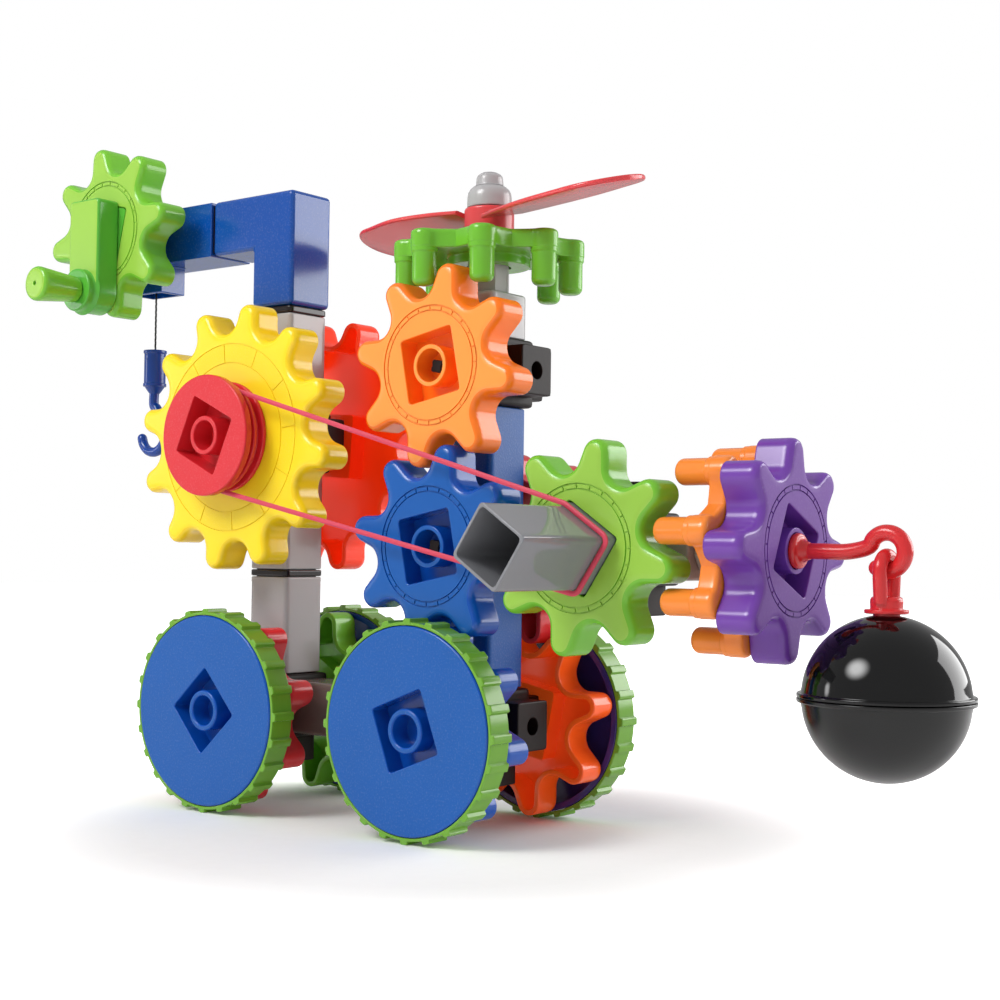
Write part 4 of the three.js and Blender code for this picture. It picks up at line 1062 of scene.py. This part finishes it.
def smoothLine(points, spans):
    # A curve through all points that keeps its pace where they lie unevenly
    ends = [points[0] * 2 - points[1]] + list(points) + [points[-1] * 2 - points[-2]]
    line = []
    for i in range(len(points) - 1):
        p0, p1, p2, p3 = ends[i:i + 4]
        t1 = max((p1 - p0).length, 1e-6) ** 0.5
        t2 = t1 + max((p2 - p1).length, 1e-6) ** 0.5
        t3 = t2 + max((p3 - p2).length, 1e-6) ** 0.5
        for k in range(spans):
            t = t1 + (t2 - t1) * k / spans
            a1 = p0 * ((t1 - t) / t1) + p1 * (t / t1)
            a2 = p1 * ((t2 - t) / (t2 - t1)) + p2 * ((t - t1) / (t2 - t1))
            a3 = p2 * ((t3 - t) / (t3 - t2)) + p3 * ((t - t2) / (t3 - t2))
            b1 = a1 * ((t2 - t) / t2) + a2 * (t / t2)
            b2 = a2 * ((t3 - t) / (t3 - t1)) + a3 * ((t - t1) / (t3 - t1))
            line.append(b1 * ((t2 - t) / (t2 - t1)) + b2 * ((t - t1) / (t2 - t1)))
    return line + [points[-1]]


def wireShell(name, points, radius, place, materials, roundEnd=True, s=wireForm):
    line = smoothLine(points, s["spans"])
    radii = [radius] * len(line)
    if roundEnd:
        last, along = line[-1], (line[-1] - line[-2]).normalized()
        for a in s["endAngles"]:
            line.append(last + along * radius * math.sin(math.radians(a)))
            radii.append(radius * math.cos(math.radians(a)))
    loops = []
    along = (line[1] - line[0]).normalized()
    side = along.orthogonal().normalized()
    for i, spot in enumerate(line):
        ahead = (line[min(i + 1, len(line) - 1)] - line[max(i - 1, 0)]).normalized()
        side = (along.rotation_difference(ahead) @ side).normalized()
        along = ahead
        other = ahead.cross(side)
        loops.append([spot + (side * math.cos(a) + other * math.sin(a)) * radii[i]
                      for a in (2 * math.pi * k / s["facets"] for k in range(s["facets"]))])
    return loftShell(name, loops, place, materials)


# Winch cord: a twisted black thread that stretches between the drum and the hook
hookForm = {"cordRadius": 0.45, "lay": 2.4, "strands": 3, "gap": 0.3, "barrel": 4.9, "barrelLength": 15.4,
            "taper": 2.6, "lip": 0.35, "lipWidth": 1.1, "shank": 16.8, "wire": 2.05, "bowl": 7.5, "lean": 0.2,
            "rise": 1.5, "start": 30, "tipShare": 0.94, "steps": 10, "cordRings": 90, "cordPoints": 18,
            "strandShare": 0.14, "hole": 0.75, "holeDepth": 1.2, "footStep": 0.6, "footSwell": 0.7,
            "facets": 40}


def winchCord(s=hookForm):
    low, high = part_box("winch_cord")
    middle = Vector(((low[0] + high[0]) / 2, (low[1] + high[1]) / 2, 0)) / mm
    foot, top = low[2] / mm, high[2] / mm
    count, share = s["cordRings"], s["strandShare"]
    loops = []
    for i in range(count + 1):
        z = foot + (top - foot) * i / count
        twist = 2 * math.pi * z / (s["lay"] * s["strands"])
        loop = []
        for k in range(s["cordPoints"]):
            a = 2 * math.pi * k / s["cordPoints"]
            r = s["cordRadius"] * (1 - share + share * math.cos(s["strands"] * (a - twist)))
            loop.append((middle.x + r * math.cos(a), middle.y + r * math.sin(a), z))
        loops.append(loop)
    cord = loftShell("winch_cord", loops, Matrix.Identity(4), [plastic("Cord", "twistedNylon")])
    cord.name = "winch_cord_piece"
    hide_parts("winch_cord")
    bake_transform(cord)
    return middle, foot


def winchHook(middle, top, s=hookForm):
    foot, wire, bowl = -s["barrelLength"], s["wire"], s["bowl"]
    place = Matrix.Translation((middle.x, middle.y, top))
    lip, rim, wide = s["barrel"], s["barrel"] - s["lip"], s["lipWidth"]
    end = foot - s["taper"]
    skin = [plastic("DeepBlue")]
    barrel = turnedShell("winch_hook", [
        (0, end - s["footStep"], 0), (wire, end - s["footStep"], 0.5), (wire + s["footSwell"], end + 0.3, 2),
        (rim - 0.3, foot - 0.1, 0.7), (lip, foot, 0.25), (lip, foot + wide, 0.3),
        (rim, foot + wide + 0.4, 0.3), (rim, -wide - 0.4, 0.3), (lip, -wide, 0.3), (lip, 0, 0.35),
        (s["hole"], 0, 0.3), (s["hole"], -s["holeDepth"], 0), (0, -s["holeDepth"], 0),
    ], place, skin, s["facets"])
    bowlZ = foot - s["shank"] - bowl / 2
    points = [Vector((0, 0, foot)), Vector((0, 0, foot - s["shank"] / 2)),
              Vector((bowl * s["lean"], 0, bowlZ + bowl * s["rise"]))]
    for i in range(s["steps"] + 1):
        a = math.radians(s["start"] - (s["start"] + 180 * s["tipShare"]) * i / s["steps"])
        points.append(Vector((bowl * math.cos(a), 0, bowlZ + bowl * math.sin(a))))
    return standIn("winch_hook", [barrel, wireShell("hook_wire", points, wire, place, skin)])


cordMiddle, cordFoot = winchCord()
winchHook(cordMiddle, cordFoot - hookForm["gap"])
print("winch hook made")

# Rotor and ball drive: seats, shafts, propeller and cap
seatForm = {"low": 12.45, "high": 28.45, "half": 10.0, "corner": 1.6, "topRound": 1.3, "lowRound": 0.4,
            "socket": 8.95, "socketEnd": 22.45, "bore": 6.3}
shaftForm = {"pin": 2.7, "pinFoot": 14.05, "journal": 6.0, "journalFoot": 22.75, "shoulder": 28.75,
             "radius": 7.8, "faces": 8, "faceSteps": 6, "bore": 3.1, "boreDepth": 9.0, "capReach": 3.7}
propellerForm = {"radius": 79.5, "chord": 33.6, "thickness": 1.7, "pitch": 12.7, "turn": 162, "rise": 8.2,
                 "hub": 9.0, "height": 11.0, "bore": 8.1, "bladeFrom": 0.105, "roundFrom": 0.8,
                 "stations": 40, "edgeSteps": 8, "thinnest": 0.05,
                 "shares": ((0.06, 0.5), (0.3, 0.82), (0.55, 1.0), (0.8, 0.94)), "beyond": (1.05, 0.9),
                 "gap": 0.3}
capForm = {"radius": 8.1, "height": 13.0, "step": 8.0, "knob": 4.9, "bore": 6.3, "boreDepth": 4.3, "tip": 2.4,
           "gap": 0.6}


def axleSeat(node, centre, direction, s=seatForm):
    path = [("square", s["socket"], s["socketEnd"], 0), ("square", s["socket"], s["low"], 0.2),
            ("square", s["half"], s["low"], s["lowRound"]), ("square", s["half"], s["high"], s["topRound"]),
            ("circle", s["bore"], s["high"], 0.4), ("circle", s["bore"], s["socketEnd"], 0)]
    return standIn(node, shellFrom(node, makeSection(corner=s["corner"]), path, placeAt(centre, direction),
                                   finishPair("Grey"), closed=True))


def facetedLoop(reach, s=shaftForm):
    corners = [Vector(((s["radius"] + reach) * math.cos(a), (s["radius"] + reach) * math.sin(a)))
               for a in (math.pi * (2 * k + 1) / s["faces"] for k in range(s["faces"]))]
    loop = []
    for k, corner in enumerate(corners):
        after = corners[(k + 1) % len(corners)]
        loop += [corner.lerp(after, i / s["faceSteps"]) for i in range(s["faceSteps"])]
    return loop


def axleShaft(node, centre, direction, end, bored, s=shaftForm):
    # A pin and a round journal in the seat, then the faceted bar that carries the crown gear
    tip, depth = (s["bore"], -s["boreDepth"]) if bored else (s["journal"], s["capReach"])
    path = [("circle", 0, s["pinFoot"], 0), ("circle", s["pin"], s["pinFoot"], 0.3),
            ("circle", s["pin"], s["journalFoot"], 0), ("circle", s["journal"], s["journalFoot"], 0.3),
            ("circle", s["journal"], s["shoulder"], 0), ("outline", 0, s["shoulder"], 0.3),
            ("outline", 0, end, 0.3), ("circle", tip, end, 0.2 if bored else 0),
            ("circle", tip, end + depth, 0 if bored else 0.3), ("circle", 0, end + depth, 0)]
    return standIn(node, shellFrom(node, makeSection(facetedLoop), path,
                                   placeAt(centre, direction, -turns["mesh"]), finishPair("Grey")))


def chordAt(share, s=propellerForm):
    # The share of the widest chord that the blade has here. Its end is round.
    if share >= s["roundFrom"]:
        over = (share - s["roundFrom"]) / (1 - s["roundFrom"])
        return s["shares"][-1][1] * math.sqrt(max(1 - over ** 2, 0))
    line = smoothLine([Vector(p) for p in s["shares"] + (s["beyond"],)], 12)
    for one, other in zip(line, line[1:]):
        if one.x <= share <= other.x:
            return one.y + (other.y - one.y) * (share - one.x) / (other.x - one.x)
    return s["shares"][0][1]


def bladeLoops(s=propellerForm):
    half = s["thickness"] / 2
    loops = []
    for i in range(s["stations"] + 1):
        swing = math.pi / 2 * i / s["stations"]
        share = s["bladeFrom"] + (1 - s["bladeFrom"]) * math.sin(swing)
        wide = max(s["chord"] * chordAt(share) / 2, s["thinnest"])
        edge, thick = min(half, wide), half * min(1, wide / half)
        loop = []
        for side in (1, -1):
            for k in range(s["edgeSteps"] + 1):
                a = math.radians(-90 * side + 180 * k / s["edgeSteps"])
                loop.append((s["radius"] * share, side * (wide - edge) + edge * math.cos(a),
                             thick * math.sin(a)))
        loops.append(loop)
    return loops


def propeller(s=propellerForm):
    base = crownForm["top"] + s["gap"]
    red = [plastic("Propeller")]
    hub = makeSection(lambda reach: facetedLoop(s["bore"] - shaftForm["radius"] + reach))
    path = [("outline", 0, base, 0.2), ("circle", s["hub"], base, 0.5),
            ("circle", s["hub"], base + s["height"], 0.9), ("outline", 0, base + s["height"], 0.2)]
    pieces = [shellFrom("propeller", hub, path, placeAt(rotorTop, "up", -turns["mesh"]), red, closed=True)]
    middle = placeAt(rotorTop) @ Matrix.Translation((0, 0, base + s["rise"]))
    pitch = Matrix.Rotation(math.radians(s["pitch"]), 4, "X")
    for turn in (s["turn"], s["turn"] + 180):
        place = middle @ Matrix.Rotation(math.radians(turn), 4, "Z") @ pitch
        pieces.append(loftShell(f"blade{turn}", bladeLoops(), place, red))
    return standIn("propeller", pieces)


def propellerCap(s=capForm):
    base = crownForm["top"] + propellerForm["height"] + s["gap"]
    step, top = base + s["step"], base + s["height"]
    return standIn("propeller_cap", turnedShell("propeller_cap", [
        (0, base + s["boreDepth"], 0), (s["bore"], base + s["boreDepth"], 0), (s["bore"], base, 0.2),
        (s["radius"], base, 0.4), (s["radius"] - 0.2, step - 0.9, 4.6), (s["knob"] + 0.1, step, 0.6),
        (s["knob"] - 0.2, top - 1.2, 2.2), (s["tip"], top, 2.6), (0, top, 0),
    ], placeAt(rotorTop), finishPair("Grey")))


axleSeat("rotor_axle_seat", rotorTop, "up")
axleSeat("ball_axle_seat", armEnd, "right")
axleShaft("rotor_shaft", rotorTop, "up", crownForm["top"] + propellerForm["height"], False)
axleShaft("ball_shaft", armEnd, "right", crownForm["top"] - 0.3, True)
propeller()
propellerCap()
print("rotor made")

# Collar of the square tube
collarForm = {"plugHalf": 11.05, "back": 24.2, "face": 35.3, "bore": 7.9, "boreEnd": 32.8, "stub": 8.65,
              "end": 44.3, "rounding": 0.9, "corner": 1.6}


def tubeCollar(s=collarForm):
    section = makeSection(corner=s["corner"])
    path = [("circle", 0, s["boreEnd"], 0), ("circle", s["bore"], s["boreEnd"], 0),
            ("circle", s["bore"], s["back"], 0), ("square", s["plugHalf"], s["back"], 0.3),
            ("square", s["plugHalf"], s["face"], s["rounding"]), ("square", s["stub"], s["face"], 0),
            ("square", s["stub"], s["end"], 0.6), ("circle", 0, s["end"], 0)]
    place = placeAt(armEnd, "near", turns["arm"])
    return standIn("tube_collar", shellFrom("tube_collar", section, path, place, finishPair("Tube")))


tubeCollar()

# Red hook of the purple gear, and the ball that hangs in it by its eye
swingForm = {"plug": 5.3, "seat": 53.3, "face": 61.3, "stand": 1.6, "shank": 17.6, "wire": 2.5, "loop": 5.8,
             "setOut": 91.2, "start": 162, "sweep": 285, "steps": 12, "bead": 0.35, "footSwell": 1.1,
             "footRise": 3.2, "facets": 40}
ballForm = {"radius": 25.1, "wall": 1.5, "rim": 26.5, "rimHeight": 1.3, "drop": 43.9, "gap": 0.3, "hole": 4.3,
            "eyeWire": 2.15, "eyeHalf": 4.9, "neck": 5.7, "neckLength": 4.2, "flange": 6.6,
            "flangeHeight": 1.3, "plug": 4.0, "plugDepth": 3, "hookWire": 2.3, "eyeSink": 0.8, "eyeSteps": 12,
            "domeSteps": 22}


def swingHook(s=swingForm):
    place = placeAt(armEnd, "right")
    red = [plastic("Hook")]
    face, rim, wire = s["face"], s["face"] + s["stand"], s["wire"]
    plug = turnedShell("swing_plug", [
        (0, s["seat"], 0), (s["plug"], s["seat"], 0.4), (s["plug"], face - 0.4, 0.5),
        (s["plug"] + s["bead"], face + 0.3, 0.3), (s["plug"] + 0.2, rim, 1.1),
        (wire + s["footSwell"], rim + 0.5, 1.4), (wire + 0.1, rim + s["footRise"], 1.0),
        (0, rim + s["footRise"], 0),
    ], place, red, s["facets"])
    end = face + s["shank"]
    points = [Vector((0, 0, face)), Vector((0, 0, (face + end) / 2)), Vector((0, 0, end))]
    for i in range(s["steps"] + 1):
        a = math.radians(s["start"] - s["sweep"] * i / s["steps"])
        points.append(Vector((-s["loop"] * math.sin(a), 0, s["setOut"] + s["loop"] * math.cos(a))))
    return standIn("swing_hook", [plug, wireShell("swing_wire", points, wire, place, red)])


loopCentre = armEnd + Vector((swingForm["setOut"], 0, 0))
ballCentre = loopCentre - Vector((0, 0, ballForm["drop"]))


def ballEye(s=ballForm, h=swingForm):
    # The eye hangs in the hook's loop: a stem plugged in the ball, and an arch of wire on it
    red = [plastic("Hook")]
    place = Matrix.Translation(loopCentre)
    half, wire, under = s["eyeHalf"], s["eyeWire"], s["flangeHeight"]
    bend = -(h["loop"] - s["hookWire"] - s["gap"] - wire) - half
    neckTop = -s["drop"] + s["radius"] + s["gap"] + under + s["neckLength"]
    foot = neckTop - s["neckLength"]
    points = [Vector((0, s["eyeSink"] - half, neckTop - wire))]
    for i in range(s["eyeSteps"] + 1):
        a = math.pi * (1 - i / s["eyeSteps"])
        points.append(Vector((0, half * math.cos(a), bend + half * math.sin(a))))
    points.append(Vector((0, half - s["eyeSink"], neckTop - wire)))
    stem = turnedShell("eye_stem", [
        (0, foot - under - s["plugDepth"], 0), (s["plug"], foot - under - s["plugDepth"], 0.4),
        (s["plug"], foot - under, 0), (s["flange"], foot - under, 0.45), (s["flange"], foot, 0.45),
        (s["neck"] - 0.9, foot, 0.5), (s["neck"] - 0.7, neckTop - 0.4, 1.6), (0, neckTop, 0),
    ], place, red, h["facets"])
    return standIn("ball_eye", [stem, wireShell("ball_eye", points, wire, place, red, roundEnd=False)])


def ballShell(node, upper, material, s=ballForm):
    # Half a hollow ball with a rim at its seam. The upper half has a hole for the eye's stem.
    seam, hole = s["gap"] / 2, s["hole"] if upper else 0.0
    lip, inner = seam + s["rimHeight"], s["radius"] - s["wall"]

    def dome(radius):
        first, last = math.asin((lip - seam) / radius), math.acos(hole / radius)
        spots = []
        for i in range(s["domeSteps"] + 1):
            a = first + (last - first) * i / s["domeSteps"]
            spots.append((max(radius * math.cos(a), hole), seam + (radius - seam) * math.sin(a), 0))
        return spots
    profile = [(inner, seam, 0), (s["rim"], seam, 0.3), (s["rim"], lip - 0.1, 0.5),
               (s["radius"] + 0.2, lip, 0.25)]
    profile += dome(s["radius"])[1:] + dome(inner)[::-1][(0 if upper else 1):]
    place = Matrix.Translation(ballCentre)
    if not upper:
        place = place @ Matrix.Rotation(math.pi, 4, "X")
    path = [("circle", *p) for p in profile]
    return standIn(node, shellFrom(node, makeSection(), path, place, [material], closed=upper))


swingHook()
ballEye()
ballShell("ball_upper_shell", True, plastic("Black", "polishedAbs"))
ballShell("ball_lower_shell", False, plastic("LowerBlack"))
print("ball made")


# Floor and light. The paper's grain is in millimetres; to the camera it is lifted to the white of the studio,
# from a little at the object to nearly all further away, between two distances in metres
paper = {"half": 3.0, "grain": 6.25, "grainDetail": 2.0, "dark": (0.93, 0.93, 0.93, 1),
         "pale": (0.97, 0.97, 0.97, 1), "gloss": 0.9, "liftFrom": 0.09, "liftTo": 0.21, "lowLift": 0.02,
         "highLift": 0.9}


def makeFloor(s=paper):
    shell = bmesh.new()
    bmesh.ops.create_grid(shell, x_segments=2, y_segments=2, size=s["half"])
    mesh = bpy.data.meshes.new("floor")
    shell.to_mesh(mesh)
    shell.free()
    mesh.materials.append(mattPaper())
    floor = bpy.data.objects.new("floor", mesh)
    scene.collection.objects.link(floor)


def mattPaper(s=paper):
    material = bpy.data.materials.new("mattPaperFloor")
    tree = clearTree(material)
    place = addNode(tree, "ShaderNodeTexCoord").outputs["Object"]
    grain = addNode(tree, "ShaderNodeTexNoise", {"Vector": place},
                    in_Scale=1 / (s["grain"] * mm), in_Detail=s["grainDetail"])
    tone = addNode(tree, "ShaderNodeValToRGB", {"Fac": grain.outputs["Fac"]})
    tone.color_ramp.elements[0].color = s["dark"]
    tone.color_ramp.elements[1].color = s["pale"]
    sheet = addNode(tree, "ShaderNodeBsdfPrincipled", {"Base Color": tone.outputs["Color"]},
                    in_Roughness=s["gloss"])
    away = addNode(tree, "ShaderNodeVectorMath", {0: place}, operation="LENGTH")
    fade = addNode(tree, "ShaderNodeMapRange", {"Value": away.outputs["Value"]},
                   interpolation_type="SMOOTHSTEP", in_From_Min=s["liftFrom"], in_From_Max=s["liftTo"],
                   in_To_Min=s["lowLift"], in_To_Max=s["highLift"])
    rays = addNode(tree, "ShaderNodeLightPath")
    seen = addNode(tree, "ShaderNodeMath", {0: fade.outputs[0], 1: rays.outputs["Is Camera Ray"]},
                   operation="MULTIPLY")
    white = addNode(tree, "ShaderNodeEmission", {"Strength": seen.outputs[0]})
    both = addNode(tree, "ShaderNodeAddShader", {0: sheet.outputs[0], 1: white.outputs[0]})
    addNode(tree, "ShaderNodeOutputMaterial", {"Surface": both.outputs[0]})
    return material


# Powers in watts, places and sizes in metres. The window has sharp edges, the cloth lamps soft ones
lamps = {
    "window": {"from": (0.62, 0.8, 0.42), "size": (0.8, 0.6), "power": 7.2, "soft": False},
    "front": {"from": (-0.25, -0.85, 0.85), "size": (0.85, 0.75), "power": 13.0, "soft": True},
    "side": {"from": (-0.9, -0.55, 0.25), "size": (0.25, 0.3), "power": 0.8, "soft": True},
}
studio = {"target": (0, 0, 0.11), "fadeFrom": 0.1, "fadeTo": 0.5, "middleLight": 2.2, "white": (1, 1, 1, 1),
          "roomLight": 0.48}


def softenEdges(data, s=studio):
    # The light of a lamp fades out from its middle to its edges, as behind a cloth
    tree = clearTree(data)
    spot = addNode(tree, "ShaderNodeNewGeometry").outputs["Parametric"]
    middle = addNode(tree, "ShaderNodeVectorMath", {0: spot}, operation="SUBTRACT")
    middle.inputs[1].default_value = (0.5, 0.5, 0.0)
    reach = addNode(tree, "ShaderNodeVectorMath", {0: middle.outputs[0]}, operation="LENGTH")
    fade = addNode(tree, "ShaderNodeMapRange", {"Value": reach.outputs["Value"]},
                   interpolation_type="SMOOTHSTEP", in_From_Min=s["fadeFrom"], in_From_Max=s["fadeTo"],
                   in_To_Min=s["middleLight"], in_To_Max=0.0)
    glow = addNode(tree, "ShaderNodeEmission", {"Strength": fade.outputs[0]})
    addNode(tree, "ShaderNodeOutputLight", {"Surface": glow.outputs[0]})


def makeLamps():
    target = Vector(studio["target"])
    for name, s in lamps.items():
        data = bpy.data.lights.new(name, "AREA")
        data.shape = "RECTANGLE"
        data.size, data.size_y = s["size"]
        data.energy = s["power"]
        if s["soft"]:
            softenEdges(data)
        lamp = bpy.data.objects.new(name, data)
        lamp.location = s["from"]
        lamp.rotation_euler = (target - lamp.location).to_track_quat("-Z", "Y").to_euler()
        scene.collection.objects.link(lamp)


def makeWorld(s=studio):
    world = bpy.data.worlds.new("studio")
    scene.world = world
    tree = clearTree(world)
    rays = addNode(tree, "ShaderNodeLightPath")
    seen = addNode(tree, "ShaderNodeBackground", in_Color=s["white"])
    lit = addNode(tree, "ShaderNodeBackground", in_Color=s["white"], in_Strength=s["roomLight"])
    mix = addNode(tree, "ShaderNodeMixShader",
                  {0: rays.outputs["Is Camera Ray"], 1: lit.outputs[0], 2: seen.outputs[0]})
    addNode(tree, "ShaderNodeOutputWorld", {"Surface": mix.outputs[0]})


makeFloor()
makeLamps()
makeWorld()
scene.view_settings.view_transform = "Standard"
print("scene ready")
